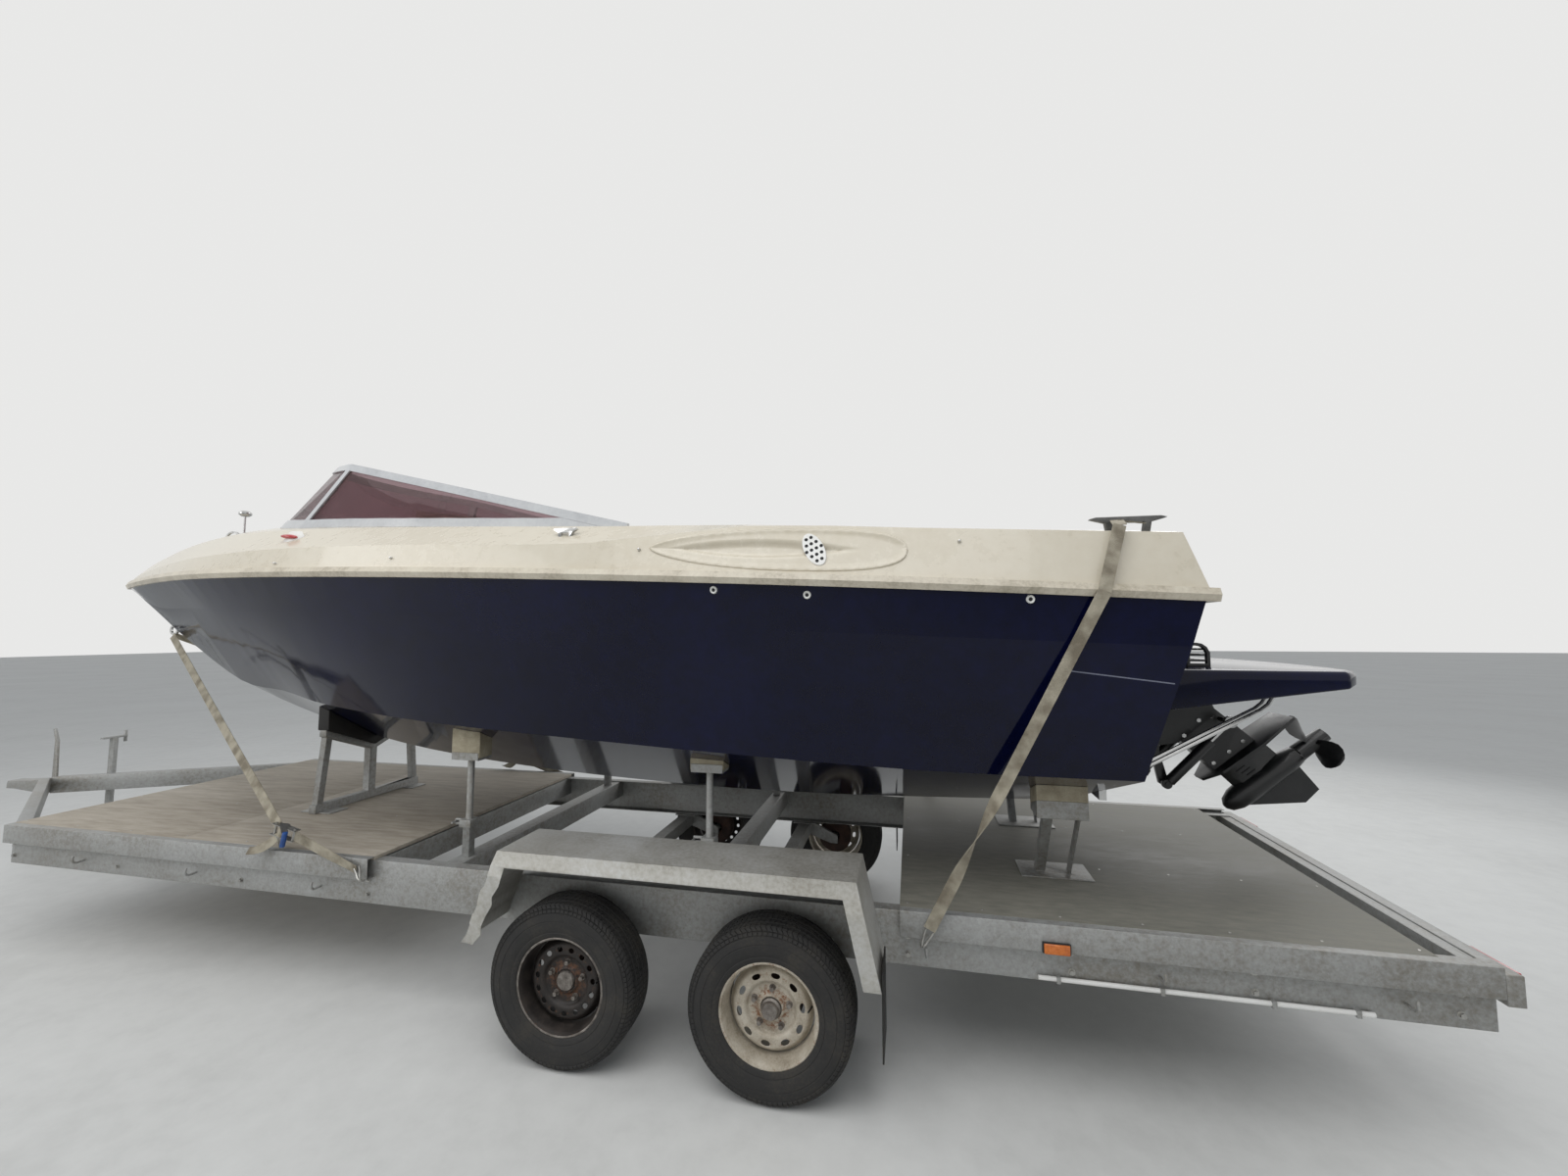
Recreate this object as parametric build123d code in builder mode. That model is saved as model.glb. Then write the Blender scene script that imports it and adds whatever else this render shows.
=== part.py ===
from build123d import *
from math import asin, cos, hypot, radians, sin
import os

# A sport boat with a stern drive, strapped on its tandem axle flatbed trailer.
# Millimetres. +X aft, +Y starboard, +Z up, Z = 0 on the ground.
# The origin lies under the middle of the whole outfit.

os.makedirs("parts", exist_ok=True)

# Fits
GAP = 0.3
RUNNING = 0.05
CLEAR = 6.0

# Boat shell
HULL_WALL = 35.0
SHEER_BOW_Z = 2087.0
SHEER_MID_Z = 2022.0
SHEER_STERN_Z = 1866.0
BOW_X = -3300.0
SHEER_MID_X = 50.0
STERN_X = 3600.0
TRANSOM_X = 3262.0
TRANSOM_LEVEL_Z = 1200.0
TRANSOM_RAKE = 0.288
TRANSOM_TOP_Z = 1880.0
STERN_OVERHANG = 20.0
STERN_TOP_X = 3420.0
STERN_TOP_Z = 2145.0
RAIL_OUT = 26.0
RAIL_LOW = 6.0
RAIL_HIGH = 42.0

# Trailer
AXLE_X = 1450.0
AXLE_SPACING = 870.0
TRACK = 2020.0
TYRE_R = 325.0
TYRE_W = 185.0
RIM_R = 178.0
RAIL_Y = 860.0
RAIL_TOP_Z = 652.0
RAIL_H = 205.0
RAIL_FLANGE = 60.0
RAIL_T = 6.0
BED_FRONT_X = -2620.0
BED_REAR_X = 4300.0
DECK_T = 18.0
DECK_TOP_Z = RAIL_TOP_Z + DECK_T
FRONT_DECK_END_X = -140.0
REAR_DECK_START_X = 2370.0
REAR_DECK_END_X = 4150.0
EDGE_W = 40.0
EDGE_H = 100.0
COUPLING_X = -4400.0

# Boat sections: x, keel_z, chine_y, chine_z, crease_y, crease_z, sheer_y,
# knuckle_y, knuckle_z, shoulder_y, shoulder_z, crown_z
SECTIONS = [
    (-3300, 2060, 10, 2066, 22, 2074, 40, 36, 2106, 24, 2118, 2125),
    (-3050, 1902, 18, 1915, 48, 1962, 170, 158, 2150, 100, 2212, 2250),
    (-2750, 1706, 34, 1735, 150, 1928, 310, 290, 2165, 200, 2262, 2330),
    (-2150, 1400, 62, 1427, 400, 1915, 570, 540, 2178, 400, 2322, 2432),
    (-1550, 1200, 240, 1382, 650, 1895, 790, 757, 2186, 575, 2345, 2466),
    (-850, 1035, 540, 1345, 830, 1875, 945, 912, 2190, 740, 2325, 2448),
    (50, 930, 780, 1310, 950, 1840, 1030, 990, 2176, 830, 2290, 2380),
    (1050, 875, 885, 1272, 1015, 1795, 1060, 1018, 2148, 870, 2248, 2300),
    (1750, 862, 900, 1240, 1030, 1770, 1070, 985, 2203, 905, 2222, 2255),
    (2450, 874, 900, 1213, 1028, 1745, 1055, 968, 2172, 885, 2188, 2215),
    (3600, 915, 895, 1209, 975, 1700, 985, 905, 2122, 820, 2138, 2165),
]


def sheer_z(x):
    """Height of the joint between hull and deck, a shallow curve along the boat."""
    bow_slope = (SHEER_MID_Z - SHEER_BOW_Z) / (SHEER_MID_X - BOW_X)
    stern_slope = (SHEER_STERN_Z - SHEER_MID_Z) / (STERN_X - SHEER_MID_X)
    bend = (stern_slope - bow_slope) / (STERN_X - BOW_X)
    return SHEER_BOW_Z + bow_slope * (x - BOW_X) + bend * (x - BOW_X) * (x - SHEER_MID_X)


# Into how many bays each interval of the table is divided, and the places along the boat that this gives
BAYS = [4, 4, 4, 4, 4, 4, 4, 2, 2, 3]
STATIONS = [BOW_X]
for row, bays in enumerate(BAYS):
    for bay in range(bays):
        STATIONS.append(SECTIONS[row][0] + (SECTIONS[row + 1][0] - SECTIONS[row][0]) * (bay + 1) / bays)
CROWN_STEPS = 4


def section_at(x):
    """Every number of the section table at any place along the boat."""
    row = max(i for i in range(len(SECTIONS) - 1) if SECTIONS[i][0] <= x + 0.001)
    last = len(SECTIONS) - 1

    def slope(i, column):
        low, high = max(i - 1, 0), min(i + 1, last)
        return (SECTIONS[high][column] - SECTIONS[low][column]) / (SECTIONS[high][0] - SECTIONS[low][0])

    start, end = SECTIONS[row], SECTIONS[row + 1]
    length = end[0] - start[0]
    t = (x - start[0]) / length
    values = [x]
    for column in range(1, len(start)):
        values.append(
            (2 * t**3 - 3 * t**2 + 1) * start[column]
            + (t**3 - 2 * t**2 + t) * length * slope(row, column)
            + (3 * t**2 - 2 * t**3) * end[column]
            + (t**3 - t**2) * length * slope(row + 1, column)
        )
    return values


def transom_x(z):
    """The transom leans aft towards its top."""
    return TRANSOM_X + TRANSOM_RAKE * (z - TRANSOM_LEVEL_Z)


def keep(builder, name):
    """Label a finished piece and write it."""
    builder.part.label = name
    export_step(builder.part, f"parts/{name}.step")


def skin(rings):
    """A solid over a row of rings that are mirror images of themselves, in flat triangles."""
    faces = [Face(Wire.make_polygon(rings[0])), Face(Wire.make_polygon(rings[-1]))]
    corners = len(rings[0])
    for ring, after in zip(rings, rings[1:]):
        for i in range(corners):
            j = (i + 1) % corners
            if 2 * i < corners:
                halves = (ring[i], ring[j], after[j]), (ring[i], after[j], after[i])
            else:
                halves = (ring[i], ring[j], after[i]), (ring[j], after[j], after[i])
            for half in halves:
                faces.append(Face(Wire.make_polygon(half)))
    return Solid(Shell(faces))


def turned(plane, stations, sides):
    """A many-sided turned form: distance along the plane's normal and radius at each station."""
    rings = []
    for along, radius in stations:
        angles = [radians(360 * i / sides) for i in range(sides)]
        rings.append([plane.from_local_coords((radius * cos(a), radius * sin(a), along)) for a in angles])
    faces = [Face(Wire.make_polygon(rings[0])), Face(Wire.make_polygon(rings[-1]))]
    for ring, after in zip(rings, rings[1:]):
        for i in range(sides):
            j = (i + 1) % sides
            faces.append(Face(Wire.make_polygon((ring[i], ring[j], after[j], after[i]))))
    return Solid(Shell(faces))


def boat_ring(x, inset):
    """Corners of the boat's section at x, moved inwards: keel, starboard side, crown, port side."""
    (x, keel_z, chine_y, chine_z, crease_y, crease_z, sheer_y,
     knuckle_y, knuckle_z, shoulder_y, shoulder_z, crown_z) = section_at(x)
    side = [
        (chine_y - inset, chine_z + 0.55 * inset),
        (crease_y - inset, crease_z),
        (sheer_y - inset, sheer_z(x)),
        (knuckle_y - inset, knuckle_z - 0.3 * inset),
    ]
    # crowned deck: a flat arc from shoulder to shoulder
    edge_y, edge_z = shoulder_y - 0.6 * inset, shoulder_z - 0.9 * inset
    rise = crown_z - inset - edge_z
    radius = (edge_y**2 + rise**2) / (2 * rise)
    for step in range(CROWN_STEPS):
        angle = asin(edge_y / radius) * (1 - step / CROWN_STEPS)
        side.append((radius * sin(angle), edge_z + rise - radius * (1 - cos(angle))))
    keel, crown = (0, keel_z + 1.1 * inset), (0, edge_z + rise)
    other = [(-y, z) for y, z in reversed(side)]
    return [(x, y, z) for y, z in (keel, *side, crown, *other)]


def boat_body(inset, stations):
    """The closed outside form of hull and deck, moved inwards by inset."""
    with BuildPart() as body:
        add(skin([boat_ring(x, inset) for x in stations]))
        with BuildSketch(Plane.XZ):
            with BuildLine():
                Polyline(
                    (BOW_X - 200, 600),
                    (transom_x(600) - inset, 600),
                    (transom_x(TRANSOM_TOP_Z) - inset, TRANSOM_TOP_Z),
                    (transom_x(TRANSOM_TOP_Z) + STERN_OVERHANG - inset, TRANSOM_TOP_Z + 20),
                    (STERN_TOP_X - inset, STERN_TOP_Z),
                    (STERN_TOP_X - inset, 2700),
                    (BOW_X - 200, 2700),
                    close=True,
                )
            make_face()
        extrude(amount=1500, both=True, mode=Mode.INTERSECT)
    return body.part


def sheer_block(shift, above):
    """All that lies above or below the joint between hull and deck."""
    start, end = BOW_X - 100, STERN_X + 100
    far_z = 2800 if above else 500
    with BuildPart() as block:
        with BuildSketch(Plane.XZ):
            with BuildLine():
                Polyline(
                    *[(x, sheer_z(x) + shift) for x in (start, *STATIONS, end)],
                    (end, far_z),
                    (start, far_z),
                    close=True,
                )
            make_face()
        extrude(amount=1500, both=True)
    return block.part


BODY_CLEAR = boat_body(-GAP, STATIONS)

with BuildPart() as boat_shell:
    add(boat_body(0, STATIONS))
    add(boat_body(HULL_WALL, [*STATIONS[12::2], STATIONS[-1]]), mode=Mode.SUBTRACT)

# Hull: one moulded shell, open at the sheer
with BuildPart() as hull:
    add(boat_shell.part)
    add(sheer_block(-GAP / 2, False), mode=Mode.INTERSECT)
keep(hull, "hull")

# Cockpit opening, engine hatch opening
COCKPIT_FRONT_X = -300.0
COCKPIT_FRONT_Y = 590.0
COCKPIT_MID_X = 1150.0
COCKPIT_MID_Y = 745.0
COCKPIT_REAR_X = 2250.0
COCKPIT_REAR_Y = 720.0
COCKPIT_CORNER_R = 90.0
HATCH_FRONT_X = 2400.0
HATCH_REAR_X = 3200.0
HATCH_Y = 600.0
HATCH_CORNER_R = 60.0


def cockpit_outline(grow):
    """Plan of the cockpit opening, made wider all round by grow."""
    with BuildSketch(Plane.XY) as plan:
        with BuildLine():
            Polyline(
                (COCKPIT_FRONT_X, -COCKPIT_FRONT_Y),
                (COCKPIT_MID_X, -COCKPIT_MID_Y),
                (COCKPIT_REAR_X, -COCKPIT_REAR_Y),
                (COCKPIT_REAR_X, COCKPIT_REAR_Y),
                (COCKPIT_MID_X, COCKPIT_MID_Y),
                (COCKPIT_FRONT_X, COCKPIT_FRONT_Y),
                close=True,
            )
        make_face()
        fillet(plan.vertices(), radius=COCKPIT_CORNER_R)
        if grow:
            offset(amount=grow)
    return plan.sketch


def prism(sketch, low, high):
    """A sketch in plan made into an upright block between two heights."""
    with BuildPart() as block:
        with BuildSketch(Plane.XY.offset(low)):
            add(sketch)
        extrude(amount=high - low)
    return block.part


def hatch_outline(grow):
    """Plan of the engine hatch opening, made wider all round by grow."""
    with BuildSketch(Plane.XY) as plan:
        with Locations(((HATCH_FRONT_X + HATCH_REAR_X) / 2, 0)):
            RectangleRounded(
                HATCH_REAR_X - HATCH_FRONT_X + 2 * grow,
                2 * (HATCH_Y + grow),
                HATCH_CORNER_R + grow,
            )
    return plan.sketch


# Air scoops on the deck sides, one each side
SCOOP_X = 1885.0
SCOOP_Z = 2096.0
SCOOP_LEN = 1070.0
SCOOP_H = 128.0
SCOOP_LIP = 7.0
SCOOP_RIM = 12.0
SCOOP_DEPTH = 16.0
SIDE_LOW_Y, SIDE_LOW_Z = 1067.0, 1955.0
SIDE_HIGH_Y, SIDE_HIGH_Z = 978.0, 2198.0
side_slope = hypot(SIDE_LOW_Y - SIDE_HIGH_Y, SIDE_HIGH_Z - SIDE_LOW_Z)
side_normal = (
    0,
    -(SIDE_HIGH_Z - SIDE_LOW_Z) / side_slope,
    (SIDE_LOW_Y - SIDE_HIGH_Y) / side_slope,
)
scoop_y = -(SIDE_LOW_Y - (SCOOP_Z - SIDE_LOW_Z)
            * (SIDE_LOW_Y - SIDE_HIGH_Y) / (SIDE_HIGH_Z - SIDE_LOW_Z))
scoop_plane = Plane(
    origin=(SCOOP_X, scoop_y, SCOOP_Z), x_dir=(1, 0, -0.035), z_dir=side_normal
)


def scoop_leaf(rim):
    """Leaf outline of an air scoop, or its edge moved inwards: pointed forward, round aft."""
    with BuildSketch(Plane.XY) as leaf:
        half, high = SCOOP_LEN / 2, SCOOP_H / 2
        with BuildLine():
            ThreePointArc((-half, 0), (-0.1 * half, high), (0.86 * half, 0.55 * high))
            ThreePointArc((0.86 * half, 0.55 * high), (half, 0), (0.86 * half, -0.55 * high))
            ThreePointArc((0.86 * half, -0.55 * high), (-0.1 * half, -high), (-half, 0))
        make_face()
        if rim:
            offset(amount=-rim)
    return leaf.sketch


# the pocket's floor follows the deck's form
with BuildPart() as scoop_pocket:
    with BuildSketch(scoop_plane.offset(-60)):
        add(scoop_leaf(SCOOP_RIM))
    extrude(amount=120)
    mirror(about=Plane.XZ)
    add(boat_body(SCOOP_DEPTH, STATIONS), mode=Mode.SUBTRACT)

with BuildPart() as deck:
    add(boat_shell.part)
    add(sheer_block(GAP / 2, True), mode=Mode.INTERSECT)
    add(prism(cockpit_outline(0), 1900, 2700), mode=Mode.SUBTRACT)
    add(prism(hatch_outline(0), 1900, 2700), mode=Mode.SUBTRACT)
    add(scoop_pocket.part, mode=Mode.SUBTRACT)
keep(deck, "deck")

with BuildPart() as scoop_rims:
    with BuildSketch(scoop_plane.offset(-60)):
        add(scoop_leaf(0))
        add(scoop_leaf(SCOOP_RIM), mode=Mode.SUBTRACT)
    extrude(amount=120)
    mirror(about=Plane.XZ)
    add(boat_body(-SCOOP_LIP, STATIONS), mode=Mode.INTERSECT)
    add(BODY_CLEAR, mode=Mode.SUBTRACT)
keep(scoop_rims, "scoop_rims")

# Oval air grilles in the scoops, with rows of round holes
GRILLE_X = 170.0
GRILLE_HOLE_R = 6.0
GRILLE_PITCH = 20.0
with BuildPart() as scoop_grilles:
    with BuildSketch(scoop_plane.offset(-60)):
        with Locations((GRILLE_X, 0)):
            Polygon((-65, 0), (-48, 28), (-16, 42), (24, 40), (54, 22), (65, 0), (48, -28), (16, -42), (-24, -40),
                    (-54, -22), rotation=-25, align=None)
            with GridLocations(GRILLE_PITCH, GRILLE_PITCH, 4, 3):
                RegularPolygon(GRILLE_HOLE_R, 6, mode=Mode.SUBTRACT)
    extrude(amount=120)
    mirror(about=Plane.XZ)
    add(boat_body(-4, STATIONS), mode=Mode.INTERSECT)
    add(boat_body(SCOOP_DEPTH - GAP, STATIONS), mode=Mode.SUBTRACT)
keep(scoop_grilles, "scoop_grilles")

# Rub rail round the sheer, with a round nose at the bow
RAIL_NOSE = [(-3350, 12), (-3340, 42), (-3300, 66)]
RAIL_EDGE = 12.0


def rail_ring(x, half):
    """Corners of the rub rail's section: flat top and bottom, sides bent outwards."""
    low, high = sheer_z(x) - RAIL_LOW, sheer_z(x) + RAIL_HIGH
    flat = half - min(RAIL_EDGE, half / 2)
    side = [(flat, low), (half, (low + high) / 2), (flat, high)]
    other = [(-y, z) for y, z in reversed(side)]
    return [(x, y, z) for y, z in ((0, low), *side, (0, high), *other)]


with BuildPart() as rub_rail:
    add(skin([rail_ring(x, section_at(x)[6] + RAIL_OUT) for x in STATIONS]))
    with BuildSketch(Plane.XZ):
        with Locations((0, 1900)):
            Rectangle(2 * (transom_x(TRANSOM_TOP_Z) + STERN_OVERHANG + RAIL_OUT - 8), 1200)
    extrude(amount=1500, both=True, mode=Mode.INTERSECT)
    add(skin([rail_ring(x, half) for x, half in RAIL_NOSE]))
    add(BODY_CLEAR, mode=Mode.SUBTRACT)
keep(rub_rail, "rub_rail")

# Cockpit tub: floor and sides, its rim standing up through the deck opening
FLOOR_Z = 1340.0
FLOOR_T = 20.0
TUB_WALL = 22.0
# rim height along the opening: x, z
RIM_LINE = [(-420, 2462), (-300, 2440), (400, 2335), (1150, 2266), (1800, 2246), (2300, 2222)]
with BuildPart() as cockpit_tub:
    add(prism(cockpit_outline(-GAP), FLOOR_Z - FLOOR_T, 2600))
    add(prism(cockpit_outline(-GAP - TUB_WALL), FLOOR_Z, 2600), mode=Mode.SUBTRACT)
    with BuildSketch(Plane.XZ):
        with BuildLine():
            Polyline((-420, 1000), *RIM_LINE, (2300, 1000), close=True)
        make_face()
    extrude(amount=1000, both=True, mode=Mode.INTERSECT)
keep(cockpit_tub, "cockpit_tub")

# Dashboard across the front of the cockpit
DASH_DEPTH = 190.0
DASH_LOW_Z = 1930.0
DASH_TOP_Z = 2215.0
DASH_Y = 500.0
dash_front = COCKPIT_FRONT_X + TUB_WALL + 2 * GAP
WHEEL_Y = 330.0
WHEEL_TILT = 28.0
WHEEL_R = 180.0
WHEEL_RIM_R = 14.0
WHEEL_X = 10.0
WHEEL_Z = 2075.0
COLUMN_R = 14.0
column_dir = (cos(radians(WHEEL_TILT)), 0, sin(radians(WHEEL_TILT)))
wheel_plane = Plane(origin=(WHEEL_X, WHEEL_Y, WHEEL_Z), x_dir=(0, 1, 0), z_dir=column_dir)
with BuildPart() as dashboard:
    with BuildSketch(Plane.XZ):
        with BuildLine():
            Polyline(
                (dash_front, DASH_LOW_Z),
                (dash_front, DASH_TOP_Z),
                (dash_front + 0.35 * DASH_DEPTH, DASH_TOP_Z + 8),
                (dash_front + 0.72 * DASH_DEPTH, DASH_TOP_Z - 70),
                (dash_front + DASH_DEPTH, DASH_LOW_Z + 60),
                (dash_front + 0.6 * DASH_DEPTH, DASH_LOW_Z),
                close=True,
            )
        make_face()
    extrude(amount=DASH_Y, both=True)
    with BuildSketch(wheel_plane.offset(-210)):
        Circle(COLUMN_R + RUNNING)
    extrude(amount=300, mode=Mode.SUBTRACT)
keep(dashboard, "dashboard")

with BuildPart() as steering_wheel:
    with BuildSketch(wheel_plane.offset(-190)):
        Circle(COLUMN_R)
    extrude(amount=180)
    add(turned(wheel_plane, [(-30, 34), (-2, 26)], 12))
    add(turned(wheel_plane, [(-14, WHEEL_R - 6), (-4, WHEEL_R), (4, WHEEL_R), (14, WHEEL_R - 6)], 24))
    add(turned(wheel_plane, [(-15, WHEEL_R - 26), (15, WHEEL_R - 26)], 24), mode=Mode.SUBTRACT)
    with BuildSketch(wheel_plane.offset(-14)):
        with PolarLocations((WHEEL_R - WHEEL_RIM_R) / 2, 3, start_angle=90):
            Rectangle(WHEEL_R - WHEEL_RIM_R, 26)
    extrude(amount=8)
    add(turned(wheel_plane, [(-30, 34), (-2, 26)], 12))
keep(steering_wheel, "steering_wheel")

# Seats
SEAT_X = 560.0
SEAT_Y = 330.0
SEAT_W = 480.0
SEAT_D = 470.0
SEAT_Z = 1680.0
BENCH_FRONT_X = 1720.0
BENCH_BACK_X = COCKPIT_REAR_X - TUB_WALL - 2 * GAP
BENCH_Y = 650.0
BENCH_Z = 1650.0
with BuildPart() as seat_bases:
    for side in (-1, 1):
        with BuildSketch(Plane.XZ.offset(-side * SEAT_Y)):
            with BuildLine():
                Polyline(
                    (SEAT_X - 120, FLOOR_Z + GAP),
                    (SEAT_X + 120, FLOOR_Z + GAP),
                    (SEAT_X + 60, SEAT_Z - 60),
                    (SEAT_X + 230, SEAT_Z - 50),
                    (SEAT_X + 330, SEAT_Z + 440),
                    (SEAT_X + 300, SEAT_Z + 445),
                    (SEAT_X + 195, SEAT_Z - 20),
                    (SEAT_X - 235, SEAT_Z),
                    (SEAT_X - 235, SEAT_Z - 50),
                    (SEAT_X - 60, SEAT_Z - 60),
                    close=True,
                )
            make_face()
        extrude(amount=SEAT_W / 2, both=True)
    with BuildSketch(Plane.XZ):
        with BuildLine():
            Polyline(
                (BENCH_FRONT_X + 40, FLOOR_Z + GAP),
                (BENCH_BACK_X, FLOOR_Z + GAP),
                (BENCH_BACK_X, BENCH_Z + 380),
                (BENCH_BACK_X - 40, BENCH_Z + 380),
                (BENCH_BACK_X - 60, BENCH_Z),
                (BENCH_FRONT_X, BENCH_Z),
                (BENCH_FRONT_X, BENCH_Z - 40),
                close=True,
            )
        make_face()
    extrude(amount=BENCH_Y, both=True)
    add(prism(cockpit_outline(-2 * GAP - TUB_WALL), FLOOR_Z + GAP, 2600), mode=Mode.INTERSECT)
keep(seat_bases, "seat_bases")

with BuildPart() as seat_cushions:
    for side in (-1, 1):
        with BuildSketch(Plane.XZ.offset(-side * SEAT_Y)):
            with BuildLine():
                Polyline(
                    (SEAT_X - 230, SEAT_Z + GAP),
                    (SEAT_X + 190, SEAT_Z - 20 + GAP),
                    (SEAT_X + 206, SEAT_Z + 50),
                    (SEAT_X - 230, SEAT_Z + 85),
                    close=True,
                )
            make_face()
        extrude(amount=SEAT_W / 2 - 20, both=True)
        with BuildSketch(Plane.XZ.offset(-side * SEAT_Y)):
            with BuildLine():
                Polyline(
                    (SEAT_X + 211.7, SEAT_Z + 56),
                    (SEAT_X + 298.4, SEAT_Z + 440),
                    (SEAT_X + 230, SEAT_Z + 450),
                    (SEAT_X + 135, SEAT_Z + 66),
                    close=True,
                )
            make_face()
        extrude(amount=SEAT_W / 2 - 20, both=True)
    with BuildSketch(Plane.XZ):
        with BuildLine():
            Polyline(
                (BENCH_FRONT_X + 5, BENCH_Z + GAP),
                (BENCH_BACK_X - 62, BENCH_Z + GAP),
                (BENCH_BACK_X - 66, BENCH_Z + 95),
                (BENCH_FRONT_X + 5, BENCH_Z + 105),
                close=True,
            )
        make_face()
    extrude(amount=BENCH_Y - 15, both=True)
    with BuildSketch(Plane.XZ):
        with BuildLine():
            Polyline(
                (BENCH_BACK_X - 55.1, BENCH_Z + 102),
                (BENCH_BACK_X - 39.9, BENCH_Z + 390),
                (BENCH_BACK_X - 105, BENCH_Z + 395),
                (BENCH_BACK_X - 140, BENCH_Z + 102),
                close=True,
            )
        make_face()
    extrude(amount=BENCH_Y - 15, both=True)
keep(seat_cushions, "seat_cushions")

# Engine: one plain block, bolted to the transom inside
ENGINE_LEN = 640.0
ENGINE_Y = 270.0
ENGINE_LOW_Z = 1110.0
ENGINE_TOP_Z = 1700.0
engine_low_x = transom_x(ENGINE_LOW_Z) - HULL_WALL - GAP
engine_top_x = transom_x(ENGINE_TOP_Z) - HULL_WALL - GAP
with BuildPart() as engine_block:
    with BuildSketch(Plane.XZ):
        with BuildLine():
            Polyline(
                (engine_low_x - ENGINE_LEN, ENGINE_LOW_Z),
                (engine_low_x, ENGINE_LOW_Z),
                (engine_top_x, ENGINE_TOP_Z),
                (engine_low_x - ENGINE_LEN, ENGINE_TOP_Z),
                close=True,
            )
        make_face()
    extrude(amount=ENGINE_Y, both=True)
keep(engine_block, "engine_block")

# Engine hatch: lid in its opening, hinged at its front edge
HATCH_T = HULL_WALL
HATCH_PIN_R = 6.0
HATCH_EAR_T = 10.0
HATCH_HINGE_Y = 420.0
hatch_pin_x = HATCH_FRONT_X + 2
hatch_pin_z = 2236.0
with BuildPart() as engine_hatch:
    add(boat_shell.part)
    add(prism(hatch_outline(-CLEAR), 1900, 2700), mode=Mode.INTERSECT)
    for side in (-1, 1):
        with BuildSketch(Plane.XZ.offset(-side * HATCH_HINGE_Y - HATCH_EAR_T / 2)):
            with BuildLine():
                Polyline(
                    (hatch_pin_x - 12, hatch_pin_z),
                    (hatch_pin_x - 6, hatch_pin_z + 12),
                    (hatch_pin_x + 8, hatch_pin_z + 12),
                    (hatch_pin_x + 70, hatch_pin_z - 30),
                    (hatch_pin_x + 70, hatch_pin_z - 48),
                    (hatch_pin_x + 12, hatch_pin_z - 48),
                    close=True,
                )
            make_face()
        extrude(amount=HATCH_EAR_T)
    with BuildSketch(Plane.XZ.offset(-600)):
        with Locations((hatch_pin_x, hatch_pin_z)):
            Circle(HATCH_PIN_R + RUNNING)
    extrude(amount=1200, mode=Mode.SUBTRACT)
keep(engine_hatch, "engine_hatch")

with BuildPart() as hatch_hinges:
    for side in (-1, 1):
        for turn in (-1, 1):
            ear_y = side * HATCH_HINGE_Y + turn * (HATCH_EAR_T + 1)
            with BuildSketch(Plane.XZ.offset(-ear_y - HATCH_EAR_T / 2)):
                with BuildLine():
                    Polyline(
                        (hatch_pin_x + 10, hatch_pin_z + 10),
                        (hatch_pin_x - 10, hatch_pin_z + 10),
                        (hatch_pin_x - 60, hatch_pin_z - 30),
                        (hatch_pin_x - 60, hatch_pin_z - 60),
                        (hatch_pin_x - 2, hatch_pin_z - 60),
                        (hatch_pin_x + 10, hatch_pin_z - 8),
                        close=True,
                    )
                make_face()
            extrude(amount=HATCH_EAR_T)
        with BuildSketch(Plane.XZ.offset(-side * HATCH_HINGE_Y - 1.5 * HATCH_EAR_T - 1)):
            with Locations((hatch_pin_x, hatch_pin_z)):
                Circle(HATCH_PIN_R)
        extrude(amount=3 * HATCH_EAR_T + 2)
    add(BODY_CLEAR, mode=Mode.SUBTRACT)
keep(hatch_hinges, "hatch_hinges")

# Windscreen: straight sides and a round front, leaning in and aft
GLASS_LOW_Z, GLASS_HIGH_Z = 2200.0, 2850.0
# outline corners at the low and the high level: aft end, mullion, knee, nose
GLASS_LOW = [(1170, 862), (-1106, 653), (-1508, 507), (-1809, 0)]
GLASS_HIGH = [(1170, 690), (-730, 482), (-995, 353), (-1227, 0)]
SCREEN_LEVELS = [(GLASS_LOW_Z, GLASS_LOW), (GLASS_HIGH_Z, GLASS_HIGH)]
NOSE_STEPS = 5
RAIL_BAND = 44.0
SILL_BAND = 45.0
GLASS_T = 6.0
FRAME_T = 24.0
rail_front_z, rail_mullion_z, rail_end_z = 2835.0, 2752.0, 2262.0
rail_front_x, rail_mullion_x, rail_end_x = -1330.0, -790.0, 1156.0


def screen_ring(z, corners, grow):
    """Corners of the windscreen's outline: nose, starboard side, aft, port side."""
    (end_x, end_y), (mul_x, mul_y), (knee_x, knee_y), (nose_x, nose_y) = corners
    side = []
    # the round front is an arc through both knees and the nose
    knee_x, knee_y, nose_x = knee_x - 0.6 * grow, knee_y + 0.8 * grow, nose_x - grow
    depth = knee_x - nose_x
    radius = (knee_y**2 + depth**2) / (2 * depth)
    for step in range(1, NOSE_STEPS + 1):
        angle = asin(knee_y / radius) * step / NOSE_STEPS
        side.append((nose_x + radius * (1 - cos(angle)), radius * sin(angle)))
    side += [(mul_x - 0.3 * grow, mul_y + grow), (end_x, end_y + grow)]
    other = [(x, -y) for x, y in reversed(side)]
    return [(x, y, z) for x, y in ((nose_x, 0), *side, (end_x, 0), *other)]


def screen_shell(outer, inner):
    """A leaning wall between two offsets of the windscreen's outline."""
    with BuildPart() as shell:
        for level, mode in ((outer, Mode.ADD), (inner, Mode.SUBTRACT)):
            add(skin([screen_ring(z, corners, level) for z, corners in SCREEN_LEVELS]), mode=mode)
    return shell.part


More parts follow.
